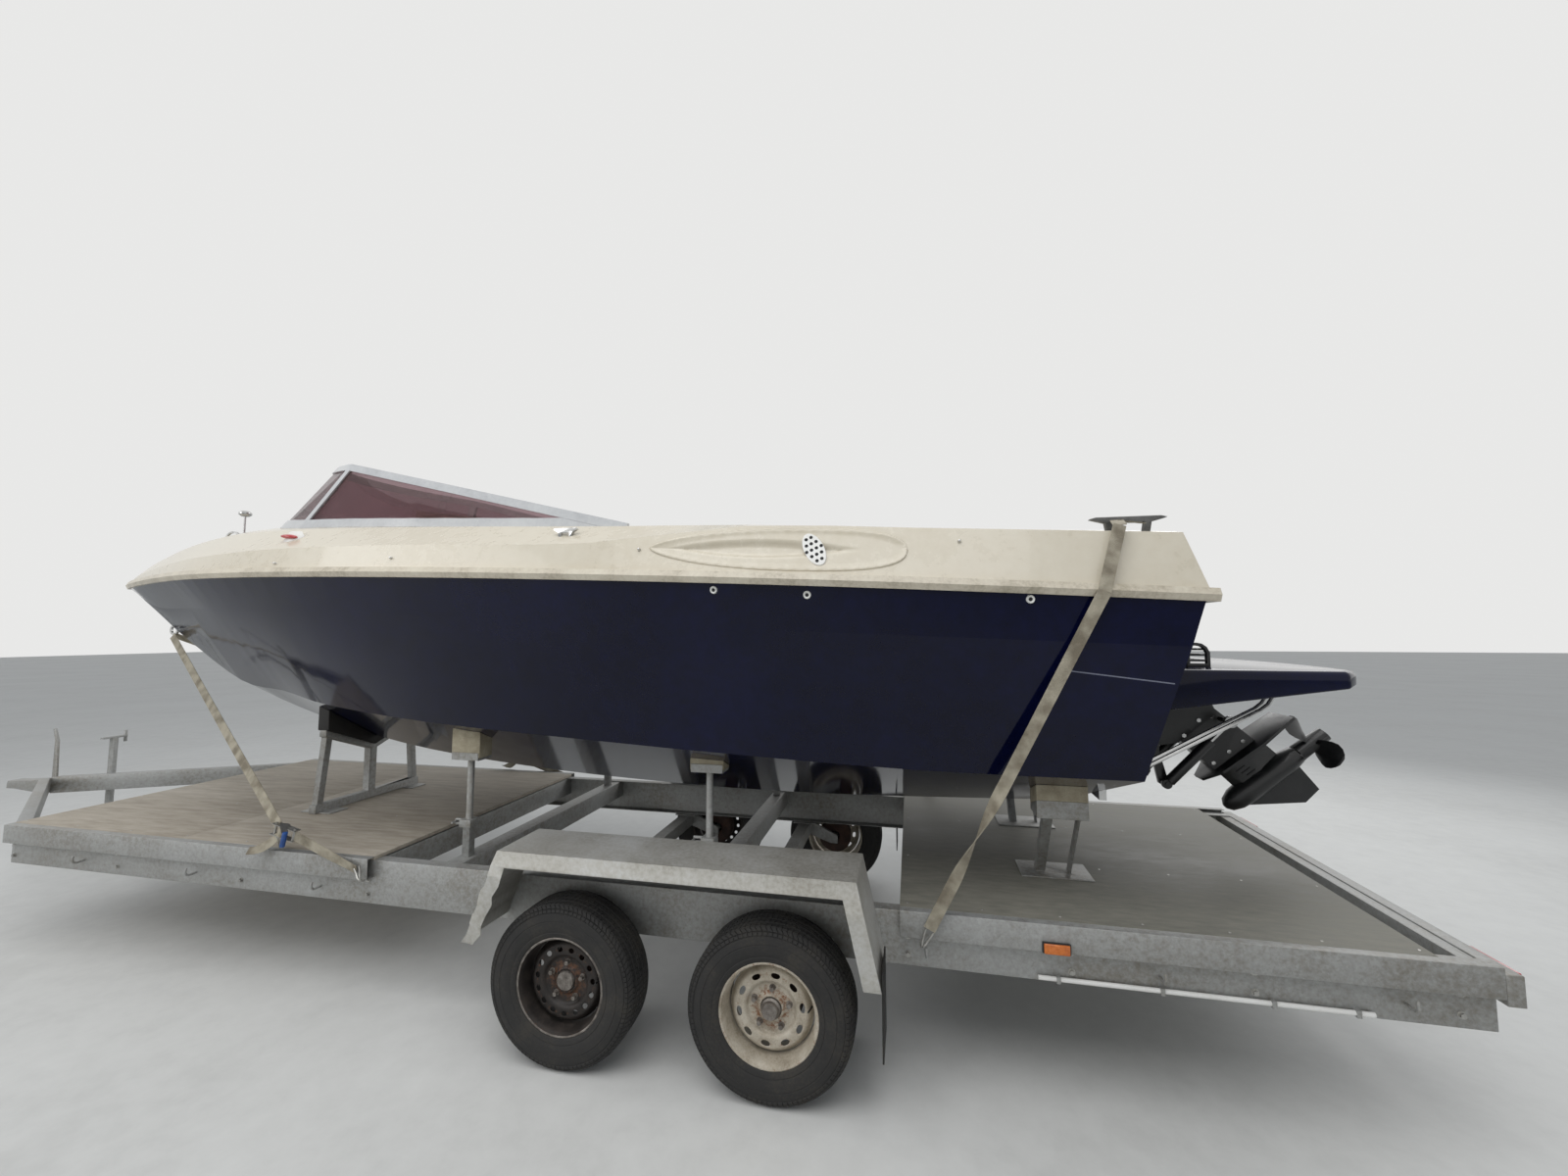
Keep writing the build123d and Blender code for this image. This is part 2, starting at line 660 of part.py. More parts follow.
def screen_side(low, high):
    """Side view of the band between two offsets below the top rail's line."""
    with BuildPart() as band:
        with BuildSketch(Plane.XZ):
            with BuildLine():
                Polyline(
                    (rail_front_x - 700, rail_front_z + high),
                    (rail_front_x, rail_front_z + high),
                    (rail_mullion_x, rail_mullion_z + high),
                    (rail_end_x, rail_end_z + high),
                    (rail_end_x, rail_end_z + low),
                    (rail_mullion_x, rail_mullion_z + low),
                    (rail_front_x, rail_front_z + low),
                    (rail_front_x - 700, rail_front_z + low),
                    close=True,
                )
            make_face()
        extrude(amount=1200, both=True)
    return band.part


frame_wall = screen_shell(FRAME_T / 2, -FRAME_T / 2)
with BuildPart() as screen_rail:
    add(frame_wall)
    add(screen_side(-RAIL_BAND, 0), mode=Mode.INTERSECT)
with BuildPart() as screen_sill:
    add(frame_wall)
    add(screen_side(-900, -RAIL_BAND - 1), mode=Mode.INTERSECT)
    add(BODY_CLEAR.moved(Location((0, 0, SILL_BAND))), mode=Mode.INTERSECT)
with BuildPart() as screen_mullions:
    add(frame_wall)
    add(screen_side(-900, -RAIL_BAND / 2), mode=Mode.INTERSECT)
    with BuildSketch(Plane.XZ):
        with BuildLine():
            Polyline((-1106 - 22, 2200), (-1106 + 22, 2200), (-730 + 22, 2850), (-730 - 22, 2850),
                     close=True)
        make_face()
    extrude(amount=1200, both=True, mode=Mode.INTERSECT)
with BuildPart() as windscreen_frame:
    add(screen_rail.part)
    add(screen_sill.part)
    add(screen_mullions.part)
    add(BODY_CLEAR, mode=Mode.SUBTRACT)
keep(windscreen_frame, "windscreen_frame")

with BuildPart() as windscreen_glass:
    add(screen_shell(GLASS_T / 2, -GLASS_T / 2))
    add(screen_side(-900, -RAIL_BAND - GAP), mode=Mode.INTERSECT)
    add(BODY_CLEAR.moved(Location((0, 0, SILL_BAND + GAP))), mode=Mode.SUBTRACT)
    add(windscreen_frame.part, mode=Mode.SUBTRACT)
keep(windscreen_glass, "windscreen_glass")

# Bow light, bow hoops, cleats, bow eye, side lamps
LIGHT_X = -2300.0
HOOP_R = 70.0
HOOP_TUBE_R = 6.0
EYE_X = -2890.0
EYE_Z = 1776.0
with BuildPart() as bow_fittings:
    # light on its pole
    pole = Plane((LIGHT_X, 0, 0))
    add(turned(pole, [(2380, 28), (2430, 26)], 12))
    add(turned(pole, [(2400, 7), (2610, 7)], 8))
    add(turned(pole, [(2600, 22), (2612, 38), (2626, 38), (2638, 24)], 12))
    # hoops on the foredeck
    for side in (-1, 1):
        hoop_y = side * 110 + HOOP_TUBE_R
        with BuildSketch(Plane((LIGHT_X + 60, hoop_y, 2395), x_dir=(1, 0, 0), z_dir=(0, -1, 0))):
            RegularPolygon(HOOP_R + HOOP_TUBE_R, 16)
            RegularPolygon(HOOP_R - HOOP_TUBE_R, 16, mode=Mode.SUBTRACT)
        extrude(amount=2 * HOOP_TUBE_R)
    # eye on the stem
    with BuildSketch(Plane((EYE_X, 0, EYE_Z), x_dir=(1, 0, 0), z_dir=(0, -1, 0))):
        RegularPolygon(38, 16)
        RegularPolygon(26, 16, mode=Mode.SUBTRACT)
    extrude(amount=7, both=True)
    with BuildSketch(Plane.XZ):
        with Locations((EYE_X + 60, EYE_Z + 8)):
            Rectangle(80, 14)
    extrude(amount=7, both=True)
    add(BODY_CLEAR, mode=Mode.SUBTRACT)
keep(bow_fittings, "bow_fittings")

CLEAT_X = 3275.0
CLEAT_Y = 800.0
CLEAT_Z = 2142.0
MID_CLEAT_X = 900.0
with BuildPart() as cleats:
    for side in (-1, 1):
        for x, y, z, spread, post_r, length in (
            (CLEAT_X, CLEAT_Y, CLEAT_Z, 60, 12, 280),
            (MID_CLEAT_X, 945, 2160, 20, 7, 120),
        ):
            # horn with a flat top and two splayed legs
            with BuildSketch(Plane.XZ.offset(-side * y)):
                with Locations((x, z)):
                    Polygon((-0.5 * length, 66), (-0.42 * length, 72), (0.42 * length, 72), (0.5 * length, 66),
                            (0.3 * length, 50), (-0.3 * length, 50), align=None)
                    for turn in (-1, 1):
                        Polygon((turn * 0.3 * length, 52), (turn * (0.3 * length - 2 * post_r), 52),
                                (turn * (spread - post_r), -15), (turn * (spread + post_r), -15), align=None)
            extrude(amount=1.2 * post_r, both=True)
    add(BODY_CLEAR, mode=Mode.SUBTRACT)
keep(cleats, "cleats")

# Side lamps, drop shaped, on the foredeck beside the windscreen
LAMP_X, LAMP_Y = -780.0, 826.0
LAMP_LOW_Z, LAMP_HIGH_Z = 2215.0, 2296.0
DROP = [(-85, 0), (-60, 27), (-10, 37), (40, 27), (85, 0), (40, -27), (-10, -37), (-60, -27)]
with BuildPart() as side_lamps:
    for side in (-1, 1):
        for z, scale in ((LAMP_LOW_Z, 1.1), (LAMP_HIGH_Z, 0.45)):
            with BuildSketch(Plane((LAMP_X, side * LAMP_Y, z))):
                Polygon(*[(scale * x, scale * y) for x, y in DROP], align=None)
        loft(ruled=True)
    add(BODY_CLEAR, mode=Mode.SUBTRACT)
keep(side_lamps, "side_lamps")

# Swim platform with its stays and the folded boarding ladder
PLATFORM_TOP_Z = 1612.0
PLATFORM_T = 176.0
PLATFORM_TIP_T = 46.0
PLATFORM_SIDE_X = 4040.0
PLATFORM_END_X = 4180.0
PLATFORM_Y = 720.0
PLATFORM_CORNER = 70.0
platform_root_x = transom_x(PLATFORM_TOP_Z) - 60


def platform_low_z(x):
    """Height of the platform's underside, which rises towards its end."""
    share = (x - platform_root_x) / (PLATFORM_END_X - platform_root_x)
    return PLATFORM_TOP_Z - PLATFORM_T + (PLATFORM_T - PLATFORM_TIP_T) * share


with BuildPart() as swim_platform:
    with BuildSketch(Plane.XY.offset(PLATFORM_TOP_Z - PLATFORM_T - 20)):
        with BuildLine():
            Polyline((PLATFORM_SIDE_X + 62, PLATFORM_Y - PLATFORM_CORNER), (PLATFORM_SIDE_X, PLATFORM_Y),
                     (platform_root_x, PLATFORM_Y), (platform_root_x, -PLATFORM_Y),
                     (PLATFORM_SIDE_X, -PLATFORM_Y), (PLATFORM_SIDE_X + 62, PLATFORM_CORNER - PLATFORM_Y))
            ThreePointArc((PLATFORM_SIDE_X + 62, PLATFORM_CORNER - PLATFORM_Y), (PLATFORM_END_X, 0),
                          (PLATFORM_SIDE_X + 62, PLATFORM_Y - PLATFORM_CORNER))
        make_face()
    extrude(amount=PLATFORM_T + 20)
    chamfer(swim_platform.faces().sort_by(Axis.Z)[-1].edges().filter_by(lambda e: e.center().X > platform_root_x + 1),
            length=14)
    # underside rising towards the end
    with BuildSketch(Plane.XZ):
        with BuildLine():
            Polyline(
                (platform_root_x - 20, PLATFORM_TOP_Z + 10),
                (PLATFORM_END_X + 20, PLATFORM_TOP_Z + 10),
                (PLATFORM_END_X + 20, platform_low_z(PLATFORM_END_X + 20)),
                (platform_root_x - 20, platform_low_z(platform_root_x - 20)),
                close=True,
            )
        make_face()
    extrude(amount=PLATFORM_Y + 10, both=True, mode=Mode.INTERSECT)
    add(BODY_CLEAR, mode=Mode.SUBTRACT)
keep(swim_platform, "swim_platform")

STAY_R = 9.0
STAY_Y = 450.0
STAY_GAP = 46.0
stay_foot = (transom_x(1070) + 4, 1070)
stay_knee = (3862, 1432)
stay_bend = (3890, 1456)
stay_top = (3925, platform_low_z(3925) - 14)
with BuildPart() as platform_stays:
    for side in (-1, 1):
        for turn in (-0.5, 0.5):
            stay_y = side * STAY_Y + turn * STAY_GAP
            with BuildLine():
                path = Polyline(
                    (stay_foot[0], stay_y, stay_foot[1]),
                    (stay_knee[0], stay_y, stay_knee[1]),
                    (stay_bend[0], stay_y, stay_bend[1]),
                    (stay_top[0], stay_y, stay_top[1]),
                )
            with BuildSketch(Plane(origin=path @ 0, z_dir=path % 0)):
                RegularPolygon(STAY_R, 8)
            sweep(transition=Transition.RIGHT)
        with Locations((stay_foot[0] + 2, side * STAY_Y, stay_foot[1])):
            Box(30, 110, 70)
        with BuildSketch(Plane.XZ.offset(-side * STAY_Y)):
            # foot plate against the sloping underside
            Polygon((3890, platform_low_z(3890) - GAP), (3955, platform_low_z(3955) - GAP),
                    (3955, platform_low_z(3955) - 16), (3890, platform_low_z(3890) - 16), align=None)
        extrude(amount=55, both=True)
    add(BODY_CLEAR, mode=Mode.SUBTRACT)
keep(platform_stays, "platform_stays")

LADDER_X = 3628.0
LADDER_Y = 360.0
LADDER_HALF_W = 130.0
with BuildPart() as boarding_ladder:
    for turn in (-1, 1):
        with BuildSketch(Plane.XZ.offset(LADDER_Y + turn * LADDER_HALF_W)):
            with Locations((LADDER_X, PLATFORM_TOP_Z + 51 + GAP)):
                for grow, mode in ((0, Mode.ADD), (-13, Mode.SUBTRACT)):
                    half_l, half_h = 45 + grow, 51 + grow
                    Polygon((-half_l, -half_h), (half_l, -half_h), (half_l, 0.2 * half_h), (0.75 * half_l, 0.65 * half_h),
                            (0.35 * half_l, 0.92 * half_h), (-0.1 * half_l, half_h), (-half_l, half_h),
                            align=None, mode=mode)
        extrude(amount=11, both=True)
    for height in (26, 50, 74):
        with Locations((LADDER_X, -LADDER_Y, PLATFORM_TOP_Z + height)):
            Box(68, 2 * LADDER_HALF_W, 9)
keep(boarding_ladder, "boarding_ladder")

# Stern drive. The side view is drawn level, in distances aft of and below the
# tilt pin, then turned up about the pin to where it is stowed.
PIVOT_X = 3580.0
PIVOT_Z = 1270.0
DRIVE_TILT = 40.0
SHAFT_DROP = 495.0


shaft_dir = (cos(radians(DRIVE_TILT)), 0, sin(radians(DRIVE_TILT)))


def tilted(aft, down):
    """A point of the level drive, turned up about the tilt pin."""
    c, s = cos(radians(DRIVE_TILT)), sin(radians(DRIVE_TILT))
    return (PIVOT_X + aft * c + down * s, PIVOT_Z + aft * s - down * c)


def drive_level(down):
    """Plane across the drive, at a distance below the tilt pin: x aft, y to starboard."""
    x, z = tilted(0, down)
    return Plane((x, 0, z), x_dir=shaft_dir, z_dir=(-shaft_dir[2], 0, shaft_dir[0]))


def drive_profile(points):
    """Closed side view of a piece of the drive."""
    with BuildSketch(Plane.XZ) as side:
        with BuildLine():
            Polyline(*[tilted(a, b) for a, b in points], close=True)
        make_face()
    return side.sketch


RING_INNER_Y = 95.0
RING_OUTER_Y = 122.0
RING_HALF_H = 112.0
RING_BAR = 22.0
RING_HALF_X = 18.0
PIN_R = 12.0
CYL_Y = 152.0
CYL_PIN_R = 10.0
CYL_FOOT_X = 32.0
CYL_FOOT_Z = -232.0
CYL_HEAD_AFT = 285.0
CYL_HEAD_DOWN = 150.0
leg_y = RING_INNER_Y - CLEAR
shaft_start = tilted(0, SHAFT_DROP)
shaft_plane = Plane(origin=(shaft_start[0], 0, shaft_start[1]), x_dir=(0, 1, 0), z_dir=shaft_dir)
with BuildPart() as drive_leg:
    # upper gear housing with the bell that fills the gimbal ring
    with BuildSketch(Plane.XZ):
        add(drive_profile([(-30, -45), (80, -45), (125, -58), (235, -50), (270, -20), (300, 60),
                           (285, 110), (60, 112), (-30, 62)]))
    extrude(amount=leg_y - 4, both=True)
    # leg
    with BuildSketch(Plane.XZ):
        add(drive_profile([(70, 60), (296, 60), (335, 322), (104, 322)]))
    extrude(amount=48, both=True)
    # cavitation plate, narrower towards its ends
    with BuildSketch(drive_level(330)):
        Polygon((30, -40), (110, -110), (330, -128), (520, -96), (520, 96), (330, 128), (110, 110), (30, 40),
                align=None)
    extrude(amount=12)
    # lower leg, sharp fore and aft
    for down, front, back, half in ((320, 112, 362, 26), (SHAFT_DROP, 128, 380, 26)):
        with BuildSketch(drive_level(down)):
            Polygon((front, 0), (front + 40, -half), (back - 110, -half), (back, -4), (back, 4),
                    (back - 110, half), (front + 40, half), align=None)
    loft(ruled=True)
    # gear case round the propeller shaft
    add(turned(shaft_plane, [(28, 12), (45, 34), (90, 50), (160, 56), (370, 54), (440, 42)], 16))
    # skeg
    with BuildSketch(Plane.XZ):
        add(drive_profile([(80, SHAFT_DROP + 30), (315, SHAFT_DROP + 188),
                           (402, SHAFT_DROP + 176), (410, SHAFT_DROP + 30)]))
    extrude(amount=6, both=True)
    # propeller shaft
    with BuildSketch(shaft_plane.offset(430)):
        Circle(PIN_R)
    extrude(amount=144)
    # cross pin for the trim rods
    head_x, head_z = tilted(CYL_HEAD_AFT, CYL_HEAD_DOWN)
    with BuildSketch(Plane.XZ.offset(-CYL_Y - 14)):
        with Locations((head_x, head_z)):
            Circle(CYL_PIN_R)
    extrude(amount=2 * (CYL_Y + 14))
    # bores for the tilt pins
    with BuildSketch(Plane.XZ.offset(-RING_OUTER_Y)):
        with Locations((PIVOT_X, PIVOT_Z)):
            Circle(PIN_R + RUNNING)
    extrude(amount=2 * RING_OUTER_Y, mode=Mode.SUBTRACT)
keep(drive_leg, "drive_leg")

with BuildPart() as gimbal_ring:
    with Locations((PIVOT_X, 0, PIVOT_Z)):
        Box(2 * RING_HALF_X, 2 * RING_OUTER_Y, 2 * RING_HALF_H)
        Box(2 * RING_HALF_X + 2, 2 * RING_INNER_Y, 2 * (RING_HALF_H - RING_BAR), mode=Mode.SUBTRACT)
    # tilt pins, pointing inwards
    for side in (-1, 1):
        with BuildSketch(Plane.XZ.offset(-side * (RING_INNER_Y - 30))):
            with Locations((PIVOT_X, PIVOT_Z)):
                Circle(PIN_R)
        extrude(amount=-side * 40)
    # steering pins, up and down
    with Locations((PIVOT_X, 0, PIVOT_Z + RING_HALF_H + 14), (PIVOT_X, 0, PIVOT_Z - RING_HALF_H - 14)):
        Cylinder(PIN_R, 32)
    # arms and pins for the trim barrels
    for side in (-1, 1):
        arm_y = side * (RING_INNER_Y + RING_OUTER_Y) / 2
        with BuildSketch(Plane.XZ.offset(-arm_y)):
            with BuildLine():
                Polyline(
                    (PIVOT_X - 16, PIVOT_Z - 90),
                    (PIVOT_X + 18, PIVOT_Z - 90),
                    (PIVOT_X + CYL_FOOT_X + 20, PIVOT_Z + CYL_FOOT_Z + 6),
                    (PIVOT_X + CYL_FOOT_X + 4, PIVOT_Z + CYL_FOOT_Z - 20),
                    (PIVOT_X + CYL_FOOT_X - 20, PIVOT_Z + CYL_FOOT_Z - 6),
                    close=True,
                )
            make_face()
        extrude(amount=(RING_OUTER_Y - RING_INNER_Y) / 2, both=True)
        with BuildSketch(Plane.XZ.offset(-side * RING_INNER_Y)):
            with Locations((PIVOT_X + CYL_FOOT_X, PIVOT_Z + CYL_FOOT_Z)):
                Circle(CYL_PIN_R)
        extrude(amount=-side * (CYL_Y + 14 - RING_INNER_Y))
keep(gimbal_ring, "gimbal_ring")

# Transom shield with the ears that hold the steering pins
SHIELD_T = 30.0
SHIELD_Y = 170.0
SHIELD_LOW_Z = 1020.0
SHIELD_HIGH_Z = 1424.0
EAR_T = 22.0
HOUSING_END_X = 3466.0
with BuildPart() as transom_shield:
    with BuildSketch(Plane.XZ):
        with BuildLine():
            Polyline(
                (transom_x(SHIELD_LOW_Z) - 20, SHIELD_LOW_Z),
                (transom_x(SHIELD_LOW_Z) + SHIELD_T, SHIELD_LOW_Z),
                (transom_x(SHIELD_HIGH_Z) + SHIELD_T, SHIELD_HIGH_Z),
                (transom_x(SHIELD_HIGH_Z) - 20, SHIELD_HIGH_Z),
                close=True,
            )
        make_face()
    extrude(amount=SHIELD_Y, both=True)
    # neck towards the ring
    with Locations(((TRANSOM_X + HOUSING_END_X) / 2, 0, PIVOT_Z)):
        Box(HOUSING_END_X - TRANSOM_X, 120, 120)
    for ear_z in (PIVOT_Z + RING_HALF_H + CLEAR, PIVOT_Z - RING_HALF_H - CLEAR - EAR_T):
        with Locations(((TRANSOM_X + PIVOT_X + 26) / 2, 0, ear_z + EAR_T / 2)):
            Box(PIVOT_X + 26 - TRANSOM_X, 70, EAR_T)
    with Locations((PIVOT_X, 0, PIVOT_Z)):
        Cylinder(PIN_R + RUNNING, 400, mode=Mode.SUBTRACT)
    add(BODY_CLEAR, mode=Mode.SUBTRACT)
keep(transom_shield, "transom_shield")

# Trim cylinders, one each side, foot on the ring, rod end on the leg's cross pin
foot = (PIVOT_X + CYL_FOOT_X, PIVOT_Z + CYL_FOOT_Z)
head = tilted(CYL_HEAD_AFT, CYL_HEAD_DOWN)
cyl_len = hypot(head[0] - foot[0], head[1] - foot[1])
cyl_dir = ((head[0] - foot[0]) / cyl_len, 0, (head[1] - foot[1]) / cyl_len)
BARREL_LEN = 284.0
BARREL_R = 24.0
ROD_R = 9.0
EYE_HOLE = 8.0
EYE_T = 20.0
with BuildPart() as trim_barrels:
    for side in (-1, 1):
        with BuildSketch(Plane.XZ.offset(-side * CYL_Y)):
            with Locations(foot):
                Circle(CYL_PIN_R + 12)
        extrude(amount=EYE_T / 2, both=True)
        with BuildSketch(Plane(origin=(foot[0], side * CYL_Y, foot[1]), z_dir=cyl_dir).offset(16)):
            RegularPolygon(BARREL_R, 16)
        extrude(amount=BARREL_LEN - 16)
        with BuildSketch(Plane(origin=(foot[0], side * CYL_Y, foot[1]), z_dir=cyl_dir).offset(40)):
            Circle(ROD_R + RUNNING)
        extrude(amount=BARREL_LEN, mode=Mode.SUBTRACT)
        with BuildSketch(Plane.XZ.offset(-side * CYL_Y)):
            with Locations(foot):
                Circle(CYL_PIN_R + RUNNING)
        extrude(amount=40, both=True, mode=Mode.SUBTRACT)
keep(trim_barrels, "trim_barrels")

with BuildPart() as trim_rods:
    for side in (-1, 1):
        with BuildSketch(Plane(origin=(foot[0], side * CYL_Y, foot[1]), z_dir=cyl_dir).offset(200)):
            Circle(ROD_R)
        extrude(amount=cyl_len - 200 - CYL_PIN_R - EYE_HOLE)
        with BuildSketch(Plane.XZ.offset(-side * CYL_Y)):
            with Locations(head):
                Circle(CYL_PIN_R + EYE_HOLE + 9)
                Circle(CYL_PIN_R + EYE_HOLE, mode=Mode.SUBTRACT)
        extrude(amount=EYE_T / 2, both=True)
keep(trim_rods, "trim_rods")

# Propeller: hub and three swept blades
HUB_R = 40.0
HUB_START = 446.0
HUB_LEN = 150.0
# radius, chord, pitch angle, thickness of the blade's sections
BLADE = [(30, 84, 60, 14), (52, 104, 52, 12), (78, 122, 44, 10), (104, 126, 37, 8), (126, 104, 32, 6),
         (142, 70, 29, 5), (151, 36, 27, 4)]
# corners of a blade's section: part of the chord, part of the thickness
SECTION_SHAPE = [(-0.5, 0), (-0.2, -0.45), (0.25, -0.35), (0.5, 0), (0.25, 0.45), (-0.2, 0.55)]
with BuildPart() as propeller:
    add(turned(shaft_plane, [(HUB_START, HUB_R), (HUB_START + HUB_LEN, HUB_R - 6)], 16))
    blade_middle = shaft_plane.offset(HUB_START + HUB_LEN / 2)
    for turn in range(3):
        spoke = radians(90 + 120 * turn)
        out = blade_middle.x_dir * cos(spoke) + blade_middle.y_dir * sin(spoke)
        across = out.cross(blade_middle.z_dir)
        rings = []
        for radius, chord, pitch, thick in BLADE:
            along = blade_middle.z_dir * cos(radians(pitch)) + across * sin(radians(pitch))
            face_way = out.cross(along)
            rings.append([blade_middle.origin + out * radius + along * (chord * a) + face_way * (thick * b)
                          for a, b in SECTION_SHAPE])
        add(skin(rings))
    with BuildSketch(shaft_plane.offset(HUB_START - 10)):
        Circle(PIN_R + RUNNING)
    extrude(amount=HUB_LEN - 10, mode=Mode.SUBTRACT)
keep(propeller, "propeller")

# Trailer rails: channels open towards the middle
rail_low_z = RAIL_TOP_Z - RAIL_H
for side, word in ((-1, "port"), (1, "starboard")):
    with BuildPart() as rail:
        with BuildSketch(Plane.YZ.offset(BED_FRONT_X)):
            with Locations((side * (RAIL_Y - RAIL_FLANGE / 2), RAIL_TOP_Z - RAIL_H / 2)):
                Rectangle(RAIL_FLANGE, RAIL_H)
            with Locations((side * (RAIL_Y - RAIL_T - RAIL_FLANGE / 2), RAIL_TOP_Z - RAIL_H / 2)):
                Rectangle(RAIL_FLANGE, RAIL_H - 2 * RAIL_T, mode=Mode.SUBTRACT)
        extrude(amount=BED_REAR_X - BED_FRONT_X)
    keep(rail, f"rail_{word}")

# Cross members between the rails: x of the middle, width along x, height
CROSS = [
    (-2590, 50, 120), (-1800, 50, 100), (-950, 50, 100), (-170, 60, 120),
    (250, 90, 110), (1515, 80, 110), (2400, 60, 120), (3000, 50, 100),
    (3600, 50, 100), (4275, 50, 120),
]
cross_top_z = RAIL_TOP_Z - RAIL_T
with BuildPart() as crossmembers:
    for x, width, height in CROSS:
        with Locations((x, 0, cross_top_z - height / 2)):
            Box(width, 2 * (RAIL_Y - RAIL_T), height)
            Box(width - 10, 2 * RAIL_Y, height - 10, mode=Mode.SUBTRACT)
    # tail beam across the rails' ends
    with Locations((BED_REAR_X + 25 + GAP, 0, 600)):
        Box(50, 2 * (RAIL_Y + EDGE_W), 100)
keep(crossmembers, "crossmembers")

# Drawbar: two channels running in to the coupling
DRAWBAR_H = 120.0
DRAWBAR_W = 60.0
DRAWBAR_NOSE_X = -4020.0
DRAWBAR_NOSE_Y = 62.0
drawbar_z = RAIL_TOP_Z - DRAWBAR_H / 2
for side, word in ((-1, "port"), (1, "starboard")):
    with BuildPart() as bar:
        with BuildSketch(Plane.XY.offset(drawbar_z - DRAWBAR_H / 2)):
            with BuildLine():
                Polyline(
                    (BED_FRONT_X, side * RAIL_Y),
                    (BED_FRONT_X, side * (RAIL_Y - DRAWBAR_W * 1.2)),
                    (DRAWBAR_NOSE_X, side * (DRAWBAR_NOSE_Y - 60)),
                    (DRAWBAR_NOSE_X, side * DRAWBAR_NOSE_Y),
                    close=True,
                )
            make_face()
        extrude(amount=DRAWBAR_H)
    keep(bar, f"drawbar_{word}")

COUPLING_BALL_R = 25.0
with BuildPart() as coupling:
    with BuildSketch(Plane.XZ):
        with BuildLine():
            Polyline(
                (DRAWBAR_NOSE_X + 0, drawbar_z - 55),
                (DRAWBAR_NOSE_X + 0, drawbar_z + 55),
                (DRAWBAR_NOSE_X - 60, drawbar_z + 45),
                (COUPLING_X + 90, drawbar_z + 30),
                (COUPLING_X + 10, drawbar_z + 26),
                (COUPLING_X, drawbar_z),
                (COUPLING_X, drawbar_z - 30),
                (COUPLING_X + 90, drawbar_z - 30),
                (DRAWBAR_NOSE_X - 60, drawbar_z - 45),
                close=True,
            )
        make_face()
    extrude(amount=42, both=True)
    with Locations((COUPLING_X + 50, 0, drawbar_z - 20)):
        Cylinder(COUPLING_BALL_R + 0.5, 50, mode=Mode.SUBTRACT)
    # hand brake lever
    with BuildSketch(Plane.XZ.offset(-42)):
        with BuildLine():
            Polyline(
                (DRAWBAR_NOSE_X - 70, drawbar_z - 20),
                (DRAWBAR_NOSE_X - 20, drawbar_z - 20),
                (DRAWBAR_NOSE_X - 40, drawbar_z + 330),
                (DRAWBAR_NOSE_X - 80, drawbar_z + 420),
                (DRAWBAR_NOSE_X - 100, drawbar_z + 415),
                (DRAWBAR_NOSE_X - 70, drawbar_z + 330),
                close=True,
            )
        make_face()
    extrude(amount=-14)
keep(coupling, "coupling")

# Jockey wheel: clamp tube, fork, wheel
JOCKEY_X = -3800.0
JOCKEY_Y = 230.0
JOCKEY_TUBE_R = 24.0
JOCKEY_R = 110.0
JOCKEY_W = 60.0
JOCKEY_STEM_R = 18.0
jockey_axle_z = JOCKEY_R
fork_top_z = jockey_axle_z + JOCKEY_R + 40
with BuildPart() as jockey_tube:
    with Locations((JOCKEY_X, JOCKEY_Y, 600)):
        Cylinder(JOCKEY_TUBE_R, 640)
    with Locations((JOCKEY_X, JOCKEY_Y, 925)):
        Box(30, 150, 14)
        with Locations((0, 70, 0)):
            Cylinder(10, 90)
    with Locations((JOCKEY_X, JOCKEY_Y - 36, drawbar_z)):
        Box(90, 60, 90)
    with BuildSketch(Plane.XY.offset(200)):
        with Locations((JOCKEY_X, JOCKEY_Y)):
            Circle(JOCKEY_STEM_R + RUNNING)
    extrude(amount=200, mode=Mode.SUBTRACT)
    with BuildSketch(Plane.XY.offset(400)):
        with BuildLine():
            Polyline(
                (BED_FRONT_X, RAIL_Y + GAP),
                (BED_FRONT_X, 0),
                (DRAWBAR_NOSE_X, 0),
                (DRAWBAR_NOSE_X, DRAWBAR_NOSE_Y + GAP),
                close=True,
            )
        make_face()
    extrude(amount=500, mode=Mode.SUBTRACT)
keep(jockey_tube, "jockey_tube")

with BuildPart() as jockey_fork:
    with Locations((JOCKEY_X, JOCKEY_Y, fork_top_z + 60)):
        Cylinder(JOCKEY_STEM_R, 120)
    with Locations((JOCKEY_X + 20, JOCKEY_Y, fork_top_z - 6)):
        Box(110, JOCKEY_W + 30, 12)
    for side in (-1, 1):
        with BuildSketch(Plane.XZ.offset(-JOCKEY_Y - side * (JOCKEY_W / 2 + 11))):
            with BuildLine():
                Polyline(
                    (JOCKEY_X - 35, fork_top_z),
                    (JOCKEY_X + 75, fork_top_z),
                    (JOCKEY_X + 62, jockey_axle_z - 20),
                    (JOCKEY_X + 18, jockey_axle_z - 20),
                    close=True,
                )
            make_face()
        extrude(amount=4, both=True)
    with BuildSketch(Plane.XZ.offset(-JOCKEY_Y - JOCKEY_W / 2 - 11)):
        with Locations((JOCKEY_X + 40, jockey_axle_z)):
            Circle(8)
    extrude(amount=JOCKEY_W + 22)
keep(jockey_fork, "jockey_fork")

